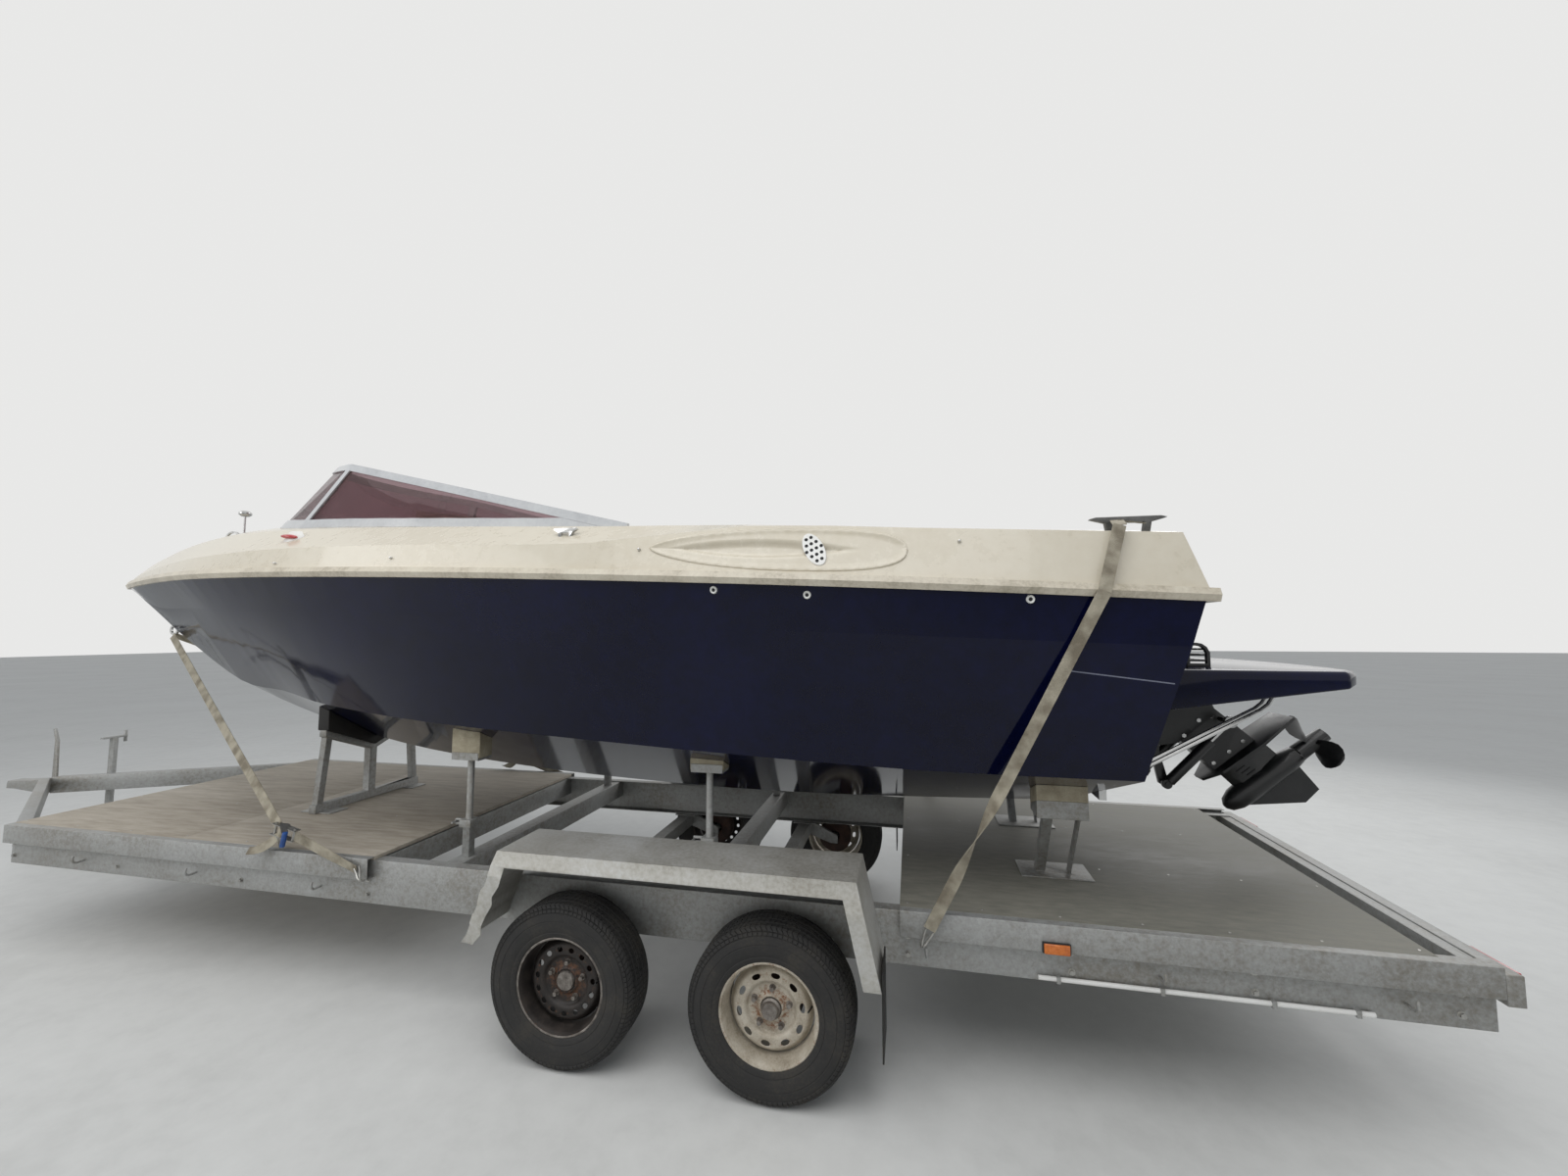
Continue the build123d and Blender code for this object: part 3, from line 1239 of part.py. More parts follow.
with BuildPart() as jockey_wheel:
    hub = Plane((JOCKEY_X + 40, JOCKEY_Y, jockey_axle_z), x_dir=(1, 0, 0), z_dir=(0, -1, 0))
    add(turned(hub, [(-JOCKEY_W / 2, JOCKEY_R - 12), (12 - JOCKEY_W / 2, JOCKEY_R),
                     (JOCKEY_W / 2 - 12, JOCKEY_R), (JOCKEY_W / 2, JOCKEY_R - 12)], 40))
    with BuildSketch(Plane.XZ.offset(-JOCKEY_Y)):
        with Locations((JOCKEY_X + 40, jockey_axle_z)):
            Circle(8 + RUNNING)
    extrude(amount=JOCKEY_W / 2 + 5, both=True, mode=Mode.SUBTRACT)
keep(jockey_wheel, "jockey_wheel")

# Flat beds, front and rear
with BuildPart() as front_bed:
    mid_x = (BED_FRONT_X + FRONT_DECK_END_X) / 2
    half_len = (FRONT_DECK_END_X - BED_FRONT_X) / 2
    for turn in (-1, 1):
        with Locations((mid_x + turn * half_len / 2, 0, RAIL_TOP_Z + DECK_T / 2)):
            Box(half_len - 2, 2 * RAIL_Y, DECK_T)
keep(front_bed, "front_bed")

with BuildPart() as rear_bed:
    with Locations(((REAR_DECK_START_X + REAR_DECK_END_X) / 2, 0, RAIL_TOP_Z + DECK_T / 2)):
        Box(REAR_DECK_END_X - REAR_DECK_START_X, 2 * RAIL_Y, DECK_T)
keep(rear_bed, "rear_bed")

# Edge profiles outside the rails, beside the beds
with BuildPart() as bed_edges:
    for start, end in ((BED_FRONT_X, FRONT_DECK_END_X), (REAR_DECK_START_X, BED_REAR_X)):
        for side in (-1, 1):
            with Locations(((start + end) / 2, side * (RAIL_Y + EDGE_W / 2), DECK_TOP_Z - EDGE_H / 2)):
                Box(end - start, EDGE_W, EDGE_H)
            with Locations(((start + end) / 2, side * (RAIL_Y + EDGE_W / 2 - 2), DECK_TOP_Z - EDGE_H / 2)):
                Box(end - start + 2, EDGE_W - 4, EDGE_H - 8, mode=Mode.SUBTRACT)
keep(bed_edges, "bed_edges")

# Axles: square tube under the rails, trailing arms and stub spindles
TUBE_SIZE = 76.0
TUBE_AHEAD = 195.0
TUBE_Z = RAIL_TOP_Z - RAIL_H - TUBE_SIZE / 2 - 6
ARM_Y = 872.0
ARM_T = 22.0
SPINDLE_R = 20.0
HUB_INNER = -88.0
HUB_OUTER = 26.0
tube_rows = [(AXLE_X + turn * AXLE_SPACING / 2 - TUBE_AHEAD) for turn in (-1, 1)]
with BuildPart() as axle_tubes:
    for tube_x in tube_rows:
        with Locations((tube_x, 0, TUBE_Z)):
            Box(TUBE_SIZE, 2 * ARM_Y - ARM_T - 2 * GAP, TUBE_SIZE)
        for side in (-1, 1):
            with Locations((tube_x, side * (RAIL_Y - 40), TUBE_Z + TUBE_SIZE / 2 + 3)):
                Box(150, 80, 6)
keep(axle_tubes, "axle_tubes")

with BuildPart() as axle_arms:
    for tube_x in tube_rows:
        hub_x = tube_x + TUBE_AHEAD
        for side in (-1, 1):
            with BuildSketch(Plane.XZ.offset(-side * ARM_Y)):
                with BuildLine():
                    Polyline(
                        (tube_x - 34, TUBE_Z - 34),
                        (tube_x - 34, TUBE_Z + 34),
                        (tube_x + 34, TUBE_Z + 34),
                        (hub_x + 26, TYRE_R + 24),
                        (hub_x + 26, TYRE_R - 28),
                        (hub_x - 20, TYRE_R - 28),
                        close=True,
                    )
                make_face()
            extrude(amount=ARM_T / 2, both=True)
            with BuildSketch(Plane.XZ.offset(-side * ARM_Y)):
                with Locations((hub_x, TYRE_R)):
                    Circle(SPINDLE_R)
            extrude(amount=-side * (TRACK / 2 + 10 - ARM_Y))
keep(axle_arms, "axle_arms")

# Road wheels: steel rims with hub and drum, and tyres, in distance outwards and radius
BARREL = [(-76, 190), (-60, RIM_R), (60, RIM_R), (76, 190)]
BARREL_BORE = [(-77, 168), (77, 168)]
DISC = [(4, 168.5), (36, 150)]
DISC_BACK = [(3, 160), (28, 140)]
BOWL = [(12, 92), (36, 108)]
BOWL_FRONT = [(20, 84), (37, 101)]
HUB_CAP = [(19, 56), (30, 46)]
DRUM = [(-58, 108), (-2, 108)]
HUB = [(HUB_INNER, 34), (HUB_OUTER, 34)]
TREAD_Y = 66.0
TYRE = [(-TYRE_W / 2, 262), (-84, 302), (-TREAD_Y, TYRE_R), (TREAD_Y, TYRE_R), (84, 302), (TYRE_W / 2, 262)]
TYRE_BORE = [(-94, 218.4), (-58, RIM_R + GAP), (58, RIM_R + GAP), (94, 218.4)]
for turn, word in ((-1, "front"), (1, "rear")):
    hub_x = AXLE_X + turn * AXLE_SPACING / 2
    wheel = Plane((hub_x, -TRACK / 2, TYRE_R), x_dir=(1, 0, 0), z_dir=(0, -1, 0))
    with BuildPart() as barrel:
        add(turned(wheel, BARREL, 36))
        add(turned(wheel, BARREL_BORE, 36), mode=Mode.SUBTRACT)
    with BuildPart() as rim:
        add(turned(wheel, DISC, 36))
        add(turned(wheel, DISC_BACK, 36), mode=Mode.SUBTRACT)
        add(turned(wheel, BOWL, 36))
        add(turned(wheel, BOWL_FRONT, 36), mode=Mode.SUBTRACT)
        with BuildSketch(wheel):
            if word == "front":
                # round holes
                with PolarLocations(126, 15):
                    RegularPolygon(11, 8)
            else:
                # long slots
                with PolarLocations(126, 10):
                    Polygon((-9, -18), (0, -22), (9, -18), (9, 18), (0, 22), (-9, 18), align=None)
        extrude(amount=60, mode=Mode.SUBTRACT)
        add(barrel.part)
        add(turned(wheel, DRUM, 24))
        add(turned(wheel, HUB, 16))
        add(turned(wheel, HUB_CAP, 16))
        with BuildSketch(wheel.offset(HUB_INNER - 5)):
            Circle(SPINDLE_R + RUNNING)
        extrude(amount=10 - HUB_INNER + 6, mode=Mode.SUBTRACT)
    with BuildPart() as tyre:
        add(turned(wheel, TYRE, 60))
        add(turned(wheel, TYRE_BORE, 60), mode=Mode.SUBTRACT)
    for piece, kind in ((rim, "rim"), (tyre, "tyre")):
        keep(piece, f"{kind}_{word}_port")
        with BuildPart() as other:
            add(piece.part.mirror(Plane.XZ))
        keep(other, f"{kind}_{word}_starboard")

# Mudguards: folded sheet over both wheels of a side
GUARD_T = 4.0
GUARD_OUT_Y = 1150.0
GUARD_TOP_Z = 862.0
GUARD_LIP = 65.0
guard_line = [(AXLE_X - 850, 480), (AXLE_X - 700, GUARD_TOP_Z), (AXLE_X + 775, GUARD_TOP_Z), (AXLE_X + 860, 490)]
with BuildPart() as mudguards:
    for side in (-1, 1):
        with BuildSketch(Plane.XZ.offset(-side * RAIL_Y)):
            with BuildLine():
                low = [(x + (GUARD_T if x < AXLE_X else -GUARD_T), z - (GUARD_T if z > 700 else 0))
                       for x, z in guard_line]
                Polyline(*guard_line, *reversed(low), close=True)
            make_face()
        extrude(amount=-side * (GUARD_OUT_Y - RAIL_Y))
        with BuildSketch(Plane.XZ.offset(-side * (GUARD_OUT_Y - GUARD_T))):
            with BuildLine():
                inner = [(AXLE_X - 850 + 62, 480), (AXLE_X - 700 + 42, GUARD_TOP_Z - GUARD_LIP),
                         (AXLE_X + 775 - 50, GUARD_TOP_Z - GUARD_LIP), (AXLE_X + 860 - 64, 490)]
                Polyline(*guard_line, *reversed(inner), close=True)
            make_face()
        extrude(amount=-side * GUARD_T)
keep(mudguards, "mudguards")

FLAP_T = 6.0
with BuildPart() as mudflaps:
    for side in (-1, 1):
        with Locations((AXLE_X + 860 + FLAP_T / 2 + GAP, side * 1040, 400)):
            Box(FLAP_T, 200, 300)
keep(mudflaps, "mudflaps")

# Boat supports
POST_Y = 700.0
POST_TUBE = 40.0
POST_CLAMP_Z = 810.0
POSTS = [(250, "front"), (1515, "rear")]
with BuildPart() as support_posts:
    for x, word in POSTS:
        for side in (-1, 1):
            with Locations((x, side * POST_Y, (RAIL_TOP_Z - RAIL_T + POST_CLAMP_Z) / 2)):
                Box(POST_TUBE, POST_TUBE, POST_CLAMP_Z - RAIL_TOP_Z + RAIL_T)
            with Locations((x, side * POST_Y, POST_CLAMP_Z)):
                Box(64, 64, 36)
            with Locations((x, side * POST_Y, 970)):
                Cylinder(16, 330)
keep(support_posts, "support_posts")

# Front cradle on the front bed: base tube, feet, struts and the pad under the keel
CRADLE_X = -1100.0
with BuildPart() as front_cradle:
    with Locations((CRADLE_X, 0, DECK_TOP_Z + 25)):
        Box(50, 760, 50)
    for side in (-1, 1):
        with Locations((CRADLE_X, side * 300, DECK_TOP_Z + 3)):
            Box(220, 120, 6)
        with BuildSketch(Plane.YZ.offset(CRADLE_X - 20)):
            with BuildLine():
                Polyline(
                    (side * 330, DECK_TOP_Z + 40), (side * 370, DECK_TOP_Z + 40),
                    (side * 330, 1120), (side * 290, 1120), close=True,
                )
            make_face()
        extrude(amount=40)
    with Locations((CRADLE_X, 0, (DECK_TOP_Z + 1000) / 2)):
        Box(50, 50, 1000 - DECK_TOP_Z)
    with BuildSketch(Plane.YZ.offset(CRADLE_X - 25)):
        with BuildLine():
            Polyline((-340, 1120), (0, 985), (340, 1120), (340, 1160), (0, 1020), (-340, 1160), close=True)
        make_face()
    extrude(amount=50)
keep(front_cradle, "front_cradle")

with BuildPart() as cradle_pad:
    with BuildSketch(Plane.YZ.offset(CRADLE_X - 40)):
        with BuildLine():
            Polyline((-340, 1160), (0, 1020), (340, 1160), (340, 1400), (-340, 1400), close=True)
        make_face()
    extrude(amount=80)
    add(BODY_CLEAR, mode=Mode.SUBTRACT)
keep(cradle_pad, "cradle_pad")

# Rear supports on the rear bed
REST_X = 2990.0
REST_Y = 600.0
with BuildPart() as rear_rests:
    for side in (-1, 1):
        with Locations((REST_X + 60, side * 360, DECK_TOP_Z + 3)):
            Box(300, 190, 6)
        with BuildSketch(Plane.YZ.offset(REST_X - 20)):
            with BuildLine():
                Polyline(
                    (side * 340, DECK_TOP_Z + 4), (side * 385, DECK_TOP_Z + 4),
                    (side * 620, 1022), (side * 575, 1022), close=True,
                )
            make_face()
        extrude(amount=40)
        with BuildSketch(Plane.YZ.offset(REST_X + 120)):
            with BuildLine():
                Polyline(
                    (side * 340, DECK_TOP_Z + 4), (side * 385, DECK_TOP_Z + 4),
                    (side * 620, 1022), (side * 575, 1022), close=True,
                )
            make_face()
        extrude(amount=10)
        with BuildSketch(Plane.YZ.offset(REST_X - 60)):
            with BuildLine():
                Polyline(
                    (side * 530, 990), (side * 670, 990), (side * 670, 1062), (side * 530, 1015),
                    close=True,
                )
            make_face()
        extrude(amount=200)
keep(rear_rests, "rear_rests")

# Pads between the posts and rests and the hull
with BuildPart() as support_pads:
    for x, word in POSTS:
        for side in (-1, 1):
            with BuildSketch(Plane.YZ.offset(x - 80)):
                with BuildLine():
                    Polyline(
                        (side * (POST_Y - 45), 1135), (side * (POST_Y + 45), 1135),
                        (side * (POST_Y + 45), 1300), (side * (POST_Y - 45), 1300), close=True,
                    )
                make_face()
            extrude(amount=160)
    for side in (-1, 1):
        with BuildSketch(Plane.YZ.offset(REST_X - 60)):
            with BuildLine():
                Polyline(
                    (side * 530, 1015 + GAP), (side * 670, 1062 + GAP), (side * 670, 1300), (side * 530, 1300),
                    close=True,
                )
            make_face()
        extrude(amount=200)
    add(BODY_CLEAR, mode=Mode.SUBTRACT)
keep(support_pads, "support_pads")


# Straps: flat webbing pulled straight between its ends
STRAP_W = 46.0
STRAP_T = 4.0


def strap(start, end, face):
    """A straight flat run of webbing between two points, its face turned to one side."""
    a, b = Vector(*start), Vector(*end)
    way = (b - a).normalized()
    outwards = Vector(*face) - way * Vector(*face).dot(way)
    with BuildPart() as run:
        with BuildSketch(Plane(origin=a, x_dir=outwards, z_dir=way)):
            Rectangle(STRAP_T, STRAP_W)
        extrude(amount=(b - a).length)
    return run.part


RATCHET = (-640.0, -900.0, 765.0)
HOOK_FRONT = (-170.0, -915.0, 610.0)
CLEAT_LOOP = (3222.0, -848.0, 2196.0)
KNUCKLE_CROSS = (3196.0, -964.0, 2158.0)
RAIL_CROSS = (3112.0, -section_at(3112)[6] - RAIL_OUT - 3.3, sheer_z(3112) + (RAIL_HIGH - RAIL_LOW) / 2)
HOOK_REAR = (2470.0, -925.0, 590.0)
with BuildPart() as straps:
    # bow eye to ratchet, ratchet to hook
    add(strap((EYE_X, -10, EYE_Z - 50), (RATCHET[0] - 60, RATCHET[1], RATCHET[2] + 30), (0, -1, 0.3)))
    add(strap((RATCHET[0] + 70, RATCHET[1] - 2, RATCHET[2] - 12),
              (HOOK_FRONT[0] - 16, HOOK_FRONT[1], HOOK_FRONT[2] + 12), (0, -1, 0)))
    # stern cleat, over the deck's edge and the rub rail, down to the hook
    add(strap(CLEAT_LOOP, KNUCKLE_CROSS, (0, 0, 1)))
    add(strap(KNUCKLE_CROSS, RAIL_CROSS, (0, -1, 0)))
    add(strap(RAIL_CROSS, (HOOK_REAR[0] + 12, HOOK_REAR[1], HOOK_REAR[2] + 30), (0, -1, 0)))
    mirror(about=Plane.XZ)
    add(BODY_CLEAR, mode=Mode.SUBTRACT)
    add(bow_fittings.part, mode=Mode.SUBTRACT)
    add(rub_rail.part, mode=Mode.SUBTRACT)
keep(straps, "straps")

with BuildPart() as ratchets:
    with Locations(Location(RATCHET, (0, 12, 0))):
        Box(150, 60, 36)
    mirror(about=Plane.XZ)
    add(straps.part, mode=Mode.SUBTRACT)
keep(ratchets, "ratchets")

with BuildPart() as trailer_lamps:
    for side in (-1, 1):
        with Locations((BED_REAR_X + 50 + 16 + 2 * GAP, side * 760, 600)):
            Box(32, 200, 80)
        with Locations((AXLE_X + 1490, side * (RAIL_Y + EDGE_W + 10), 590)):
            Box(100, 20, 40)
keep(trailer_lamps, "trailer_lamps")
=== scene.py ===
import math

import bmesh
import bpy
from mathutils import Matrix, Vector
from mathutils.bvhtree import BVHTree


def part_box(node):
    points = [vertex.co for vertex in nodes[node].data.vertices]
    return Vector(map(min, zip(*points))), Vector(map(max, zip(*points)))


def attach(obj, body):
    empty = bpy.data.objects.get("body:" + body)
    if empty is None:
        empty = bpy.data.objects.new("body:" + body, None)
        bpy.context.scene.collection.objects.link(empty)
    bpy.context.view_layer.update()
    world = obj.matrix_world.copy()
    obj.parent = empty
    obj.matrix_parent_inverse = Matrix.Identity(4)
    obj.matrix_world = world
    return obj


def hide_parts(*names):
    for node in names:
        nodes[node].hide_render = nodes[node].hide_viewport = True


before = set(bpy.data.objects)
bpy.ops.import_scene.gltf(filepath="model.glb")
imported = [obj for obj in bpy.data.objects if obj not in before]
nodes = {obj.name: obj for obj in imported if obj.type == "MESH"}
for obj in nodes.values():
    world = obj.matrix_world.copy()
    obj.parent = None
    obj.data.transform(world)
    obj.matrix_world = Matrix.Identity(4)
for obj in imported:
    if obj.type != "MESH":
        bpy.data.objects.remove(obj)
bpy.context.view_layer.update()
scene = bpy.context.scene
scene.view_settings.view_transform = "Standard"

# The place: a pale workshop floor under even daylight. The camera stands on the port side,
# low beside the wheels, and looks slightly up with a wide lens, as the photographer did.
CAMERA_PLACE = Vector((2.429, -3.352, 1.758))
CAMERA_TURN = math.radians(12.03)
CAMERA_RISE = math.radians(4.285)
LENS_SHARE = 604.1 / 1600
SENSOR_MM = 36.0
# name, place, size, power, aim
LAMPS = [
    ("sky_panel", (1.0, -3.5, 7.5), 7.0, 330.0, (0.5, 0, 1)),
    ("fill_panel", (-5.5, -5.5, 4.0), 4.0, 130.0, (-1, 0, 1.2)),
    ("back_panel", (6.5, 5.0, 5.5), 5.0, 160.0, (1, 0, 1)),
]

camera = bpy.data.objects.new("camera", bpy.data.cameras.new("camera"))
scene.collection.objects.link(camera)
camera.data.sensor_width = SENSOR_MM
camera.data.lens = SENSOR_MM * LENS_SHARE
camera.data.clip_start = 0.05
camera.location = CAMERA_PLACE
camera.rotation_euler = (math.pi / 2 + CAMERA_RISE, 0, CAMERA_TURN)
scene.camera = camera


def colour(sheet_hex):
    """An sRGB hex colour as the linear colour that a shader takes."""
    parts = [int(sheet_hex[i : i + 2], 16) / 255 for i in (0, 2, 4)]
    linear = [c / 12.92 if c <= 0.04045 else ((c + 0.055) / 1.055) ** 2.4 for c in parts]
    return (*linear, 1.0)


def add_node(tree, kind, links=None, **settings):
    """One shader node: plain settings by name, socket values by number or name through links."""
    node = tree.nodes.new(kind)
    for name, value in settings.items():
        setattr(node, name, value)
    for socket, value in (links or {}).items():
        if isinstance(value, bpy.types.NodeSocket):
            tree.links.new(value, node.inputs[socket])
        else:
            node.inputs[socket].default_value = value
    return node


def surface_of(name, rough, metal=0.0, coat=0.0, specular=0.5):
    """A new material's tree and Principled shader, its constants set on the shader's own sockets."""
    material = bpy.data.materials.new(name)
    material.use_nodes = True
    shader = material.node_tree.nodes["Principled BSDF"]
    shader.inputs["Roughness"].default_value = rough
    shader.inputs["Metallic"].default_value = metal
    shader.inputs["Specular IOR Level"].default_value = specular
    shader.inputs["Coat Weight"].default_value = coat
    shader.inputs["Coat Roughness"].default_value = 0.05
    return material, material.node_tree, shader


def weathering(tree, shader, tones, broad_mm, fine_mm, rough=None, bump_mm=0.0, stretch=(1, 1, 1),
               fine_share=0.4):
    """Tones in broad patches broken up by fine ones, with their own roughness and unevenness."""
    place = add_node(tree, "ShaderNodeTexCoord")
    turned = add_node(tree, "ShaderNodeMapping", {"Vector": place.outputs["Object"], "Scale": stretch})
    broad = add_node(tree, "ShaderNodeTexNoise",
                     {"Vector": turned.outputs[0], "Scale": 1000 / broad_mm, "Detail": 4.0, "Roughness": 0.6})
    fine = add_node(tree, "ShaderNodeTexNoise",
                    {"Vector": turned.outputs[0], "Scale": 1000 / fine_mm, "Detail": 5.0, "Roughness": 0.65})
    both = add_node(tree, "ShaderNodeMix", {0: fine_share, 2: broad.outputs["Fac"], 3: fine.outputs["Fac"]})
    ramp = add_node(tree, "ShaderNodeValToRGB", {"Fac": both.outputs[0]})
    stops = ramp.color_ramp.elements
    for i, tone in enumerate(tones):
        at = 0.36 + 0.28 * i / (len(tones) - 1)
        stop = stops[i] if i < 2 else stops.new(at)
        stop.position = at
        stop.color = colour(tone)
    tree.links.new(ramp.outputs["Color"], shader.inputs["Base Color"])
    if rough:
        span = add_node(tree, "ShaderNodeMapRange",
                        {"Value": both.outputs[0], "From Min": 0.35, "From Max": 0.65,
                         "To Min": rough[0], "To Max": rough[1]})
        tree.links.new(span.outputs["Result"], shader.inputs["Roughness"])
    if bump_mm:
        bump = add_node(tree, "ShaderNodeBump",
                        {"Height": fine.outputs["Fac"], "Strength": 0.6, "Distance": bump_mm / 1000})
        tree.links.new(bump.outputs["Normal"], shader.inputs["Normal"])
    return turned, ramp


world = bpy.data.worlds.new("daylight")
scene.world = world
world.use_nodes = True
sky = world.node_tree
sky.nodes.clear()
ray = add_node(sky, "ShaderNodeLightPath")
seen = add_node(sky, "ShaderNodeMath", {0: ray.outputs["Is Camera Ray"], 1: ray.outputs["Is Glossy Ray"]},
                operation="MAXIMUM")
seen = add_node(sky, "ShaderNodeMath", {0: seen.outputs[0], 1: ray.outputs["Is Transmission Ray"]},
                operation="MAXIMUM")
ambient = add_node(sky, "ShaderNodeBackground", {"Color": colour("dfe4ea"), "Strength": 0.5})
backdrop = add_node(sky, "ShaderNodeBackground", {"Color": colour("f1f1f0"), "Strength": 0.92})
mixed = add_node(sky, "ShaderNodeMixShader",
                 {0: seen.outputs[0], 1: ambient.outputs[0], 2: backdrop.outputs[0]})
add_node(sky, "ShaderNodeOutputWorld", {"Surface": mixed.outputs[0]})

for name, place, size, power, aim in LAMPS:
    lamp = bpy.data.objects.new(name, bpy.data.lights.new(name, "AREA"))
    lamp.data.shape = "SQUARE"
    lamp.data.size = size
    lamp.data.energy = power
    lamp.location = place
    lamp.rotation_euler = (Vector(aim) - Vector(place)).to_track_quat("-Z", "Y").to_euler()
    scene.collection.objects.link(lamp)

concrete, tree, shader = surface_of("power_floated_concrete", 0.7)
weathering(tree, shader, ("cfcfcc", "d8d8d5", "dededb"), 1800, 120, rough=(0.6, 0.8))
floor_mesh = bmesh.new()
bmesh.ops.create_grid(floor_mesh, x_segments=1, y_segments=1, size=60)
floor = bpy.data.objects.new("floor", bpy.data.meshes.new("floor"))
floor_mesh.to_mesh(floor.data)
floor_mesh.free()
floor.data.materials.append(concrete)
scene.collection.objects.link(floor)


# Hull: a glass-fibre shell in one moulding, deep navy gelcoat polished to a mirror, with one crease
# that runs the length of each side. The wax film is thin and a long pale scratch marks the port quarter.
def settle(shape, name, materials, body, sharp=math.radians(32), replaces=()):
    """A finished bmesh as a piece: closed, turned outwards, shaded, and riding on its body."""
    piece = bpy.data.objects.new(name, bpy.data.meshes.new(name))
    shape.to_mesh(piece.data)
    shape.free()
    for material in materials:
        piece.data.materials.append(material)
    if sharp is not None:
        piece.data.shade_smooth()
        piece.data.set_sharp_from_angle(angle=sharp)
    scene.collection.objects.link(piece)
    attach(piece, body)
    if replaces:
        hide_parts(*replaces)
    return piece


def merged(name, distance=0.00002):
    """A bmesh of a node's own shape with its loose facets joined."""
    shape = bmesh.new()
    shape.from_mesh(nodes[name].data)
    bmesh.ops.remove_doubles(shape, verts=shape.verts, dist=distance)
    for face in shape.faces:
        face.material_index = 0
    return shape


def moulded_copy(name, material, body, crease_degrees, edge_degrees=38):
    """A moulding from its node: lengthwise creases stay crisp, the facets between stations run smooth."""
    shape = merged(name)
    for edge in shape.edges:
        edge.smooth = True
        if len(edge.link_faces) == 2:
            bend = math.degrees(edge.calc_face_angle(0))
            run = edge.verts[1].co - edge.verts[0].co
            lengthwise = abs(run.x) > 0.9 * run.length
            if bend > edge_degrees or (lengthwise and bend > crease_degrees):
                edge.smooth = False
    for face in shape.faces:
        face.smooth = True
    return settle(shape, name + "_moulding", [material], body, None, (name,))


SCRATCH_START = Vector((2.985, 0, 1.618))
SCRATCH_LENGTH = 0.37
SCRATCH_SLOPE = -0.12

navy, tree, shader = surface_of("polished_navy_gelcoat", 0.1, specular=0.24)
turned, ramp = weathering(tree, shader, ("04061c", "060a26", "080d30"), 900, 60, rough=(0.05, 0.11))
place = add_node(tree, "ShaderNodeTexCoord")
axes = add_node(tree, "ShaderNodeSeparateXYZ", {0: place.outputs["Object"]})
along = add_node(tree, "ShaderNodeMath", {0: axes.outputs["X"], 1: SCRATCH_START.x}, operation="SUBTRACT")
fall = add_node(tree, "ShaderNodeMath", {0: along.outputs[0], 1: SCRATCH_SLOPE, 2: SCRATCH_START.z},
                operation="MULTIPLY_ADD")
off_line = add_node(tree, "ShaderNodeMath", {0: axes.outputs["Z"], 1: fall.outputs[0], 2: 0.0022},
                    operation="COMPARE")
past = add_node(tree, "ShaderNodeMath", {0: along.outputs[0], 1: 0.0}, operation="GREATER_THAN")
before = add_node(tree, "ShaderNodeMath", {0: along.outputs[0], 1: SCRATCH_LENGTH}, operation="LESS_THAN")
port_side = add_node(tree, "ShaderNodeMath", {0: axes.outputs["Y"], 1: 0.0}, operation="LESS_THAN")
mask = off_line
for limit in (past, before, port_side):
    mask = add_node(tree, "ShaderNodeMath", {0: mask.outputs[0], 1: limit.outputs[0]}, operation="MULTIPLY")
scratched = add_node(tree, "ShaderNodeMix", {0: mask.outputs[0], 6: ramp.outputs[0], 7: colour("7d8090")},
                     data_type="RGBA")
tree.links.new(scratched.outputs[2], shader.inputs["Base Color"])

moulded_copy("hull", navy, "outfit", 3)

# Skin fittings under the sheer: white nylon outlets with a flange, pushed through the topsides and
# nutted inside. Three show on each side, their mouths dark with painted shade.
OUTLETS = [(1.648, 1.93), (2.033, 1.905), (2.864, 1.88)]
OUTLET_R = 0.017

nylon, tree, shader = surface_of("white_nylon", 0.4)
weathering(tree, shader, ("d9d9d5", "e3e3df", "e9e9e6"), 60, 8, rough=(0.35, 0.5))
# Painted shade: the mouths of the outlets, grille holes and water intakes are coloured dark to stand for the
# shadow inside them.
painted_shade_mouth, tree, shader = surface_of("shaded_mouth", 0.8)
weathering(tree, shader, ("0b0b0c", "101011", "151515"), 40, 6)

skins = {}


def on_skin(name, start, way):
    """Where a line from start meets a node's surface, and which way the surface faces there."""
    if name not in skins:
        shape = merged(name)
        skins[name] = BVHTree.FromBMesh(shape)
        shape.free()
    point, facing, *_ = skins[name].ray_cast(Vector(start), Vector(way).normalized())
    return point, facing


def facing_matrix(point, facing, spin=0.0):
    """A place on a surface whose own Z looks out of it."""
    return Matrix.Translation(point) @ Vector(facing).to_track_quat("Z", "Y").to_matrix().to_4x4() \
        @ Matrix.Rotation(spin, 4, "Z")


shape = bmesh.new()
for x, z in OUTLETS:
    for side in (-1, 1):
        point, facing = on_skin("hull", (x, side * 3, z), (0, -side, 0))
        at = facing_matrix(point, facing)
        before = set(shape.faces)
        bmesh.ops.create_cone(shape, cap_ends=True, segments=28, radius1=OUTLET_R, radius2=OUTLET_R * 0.8,
                              depth=0.008, matrix=at @ Matrix.Translation((0, 0, 0.002)))
        front = max(set(shape.faces) - before,
                    key=lambda face: (face.calc_center_median() - point).dot(facing))
        bmesh.ops.inset_region(shape, faces=[front], thickness=0.006, depth=0)
        bmesh.ops.translate(shape, verts=front.verts, vec=-Vector(facing) * 0.004)
        front.material_index = 1
settle(shape, "skin_outlets", [nylon, painted_shade_mouth], "outfit")

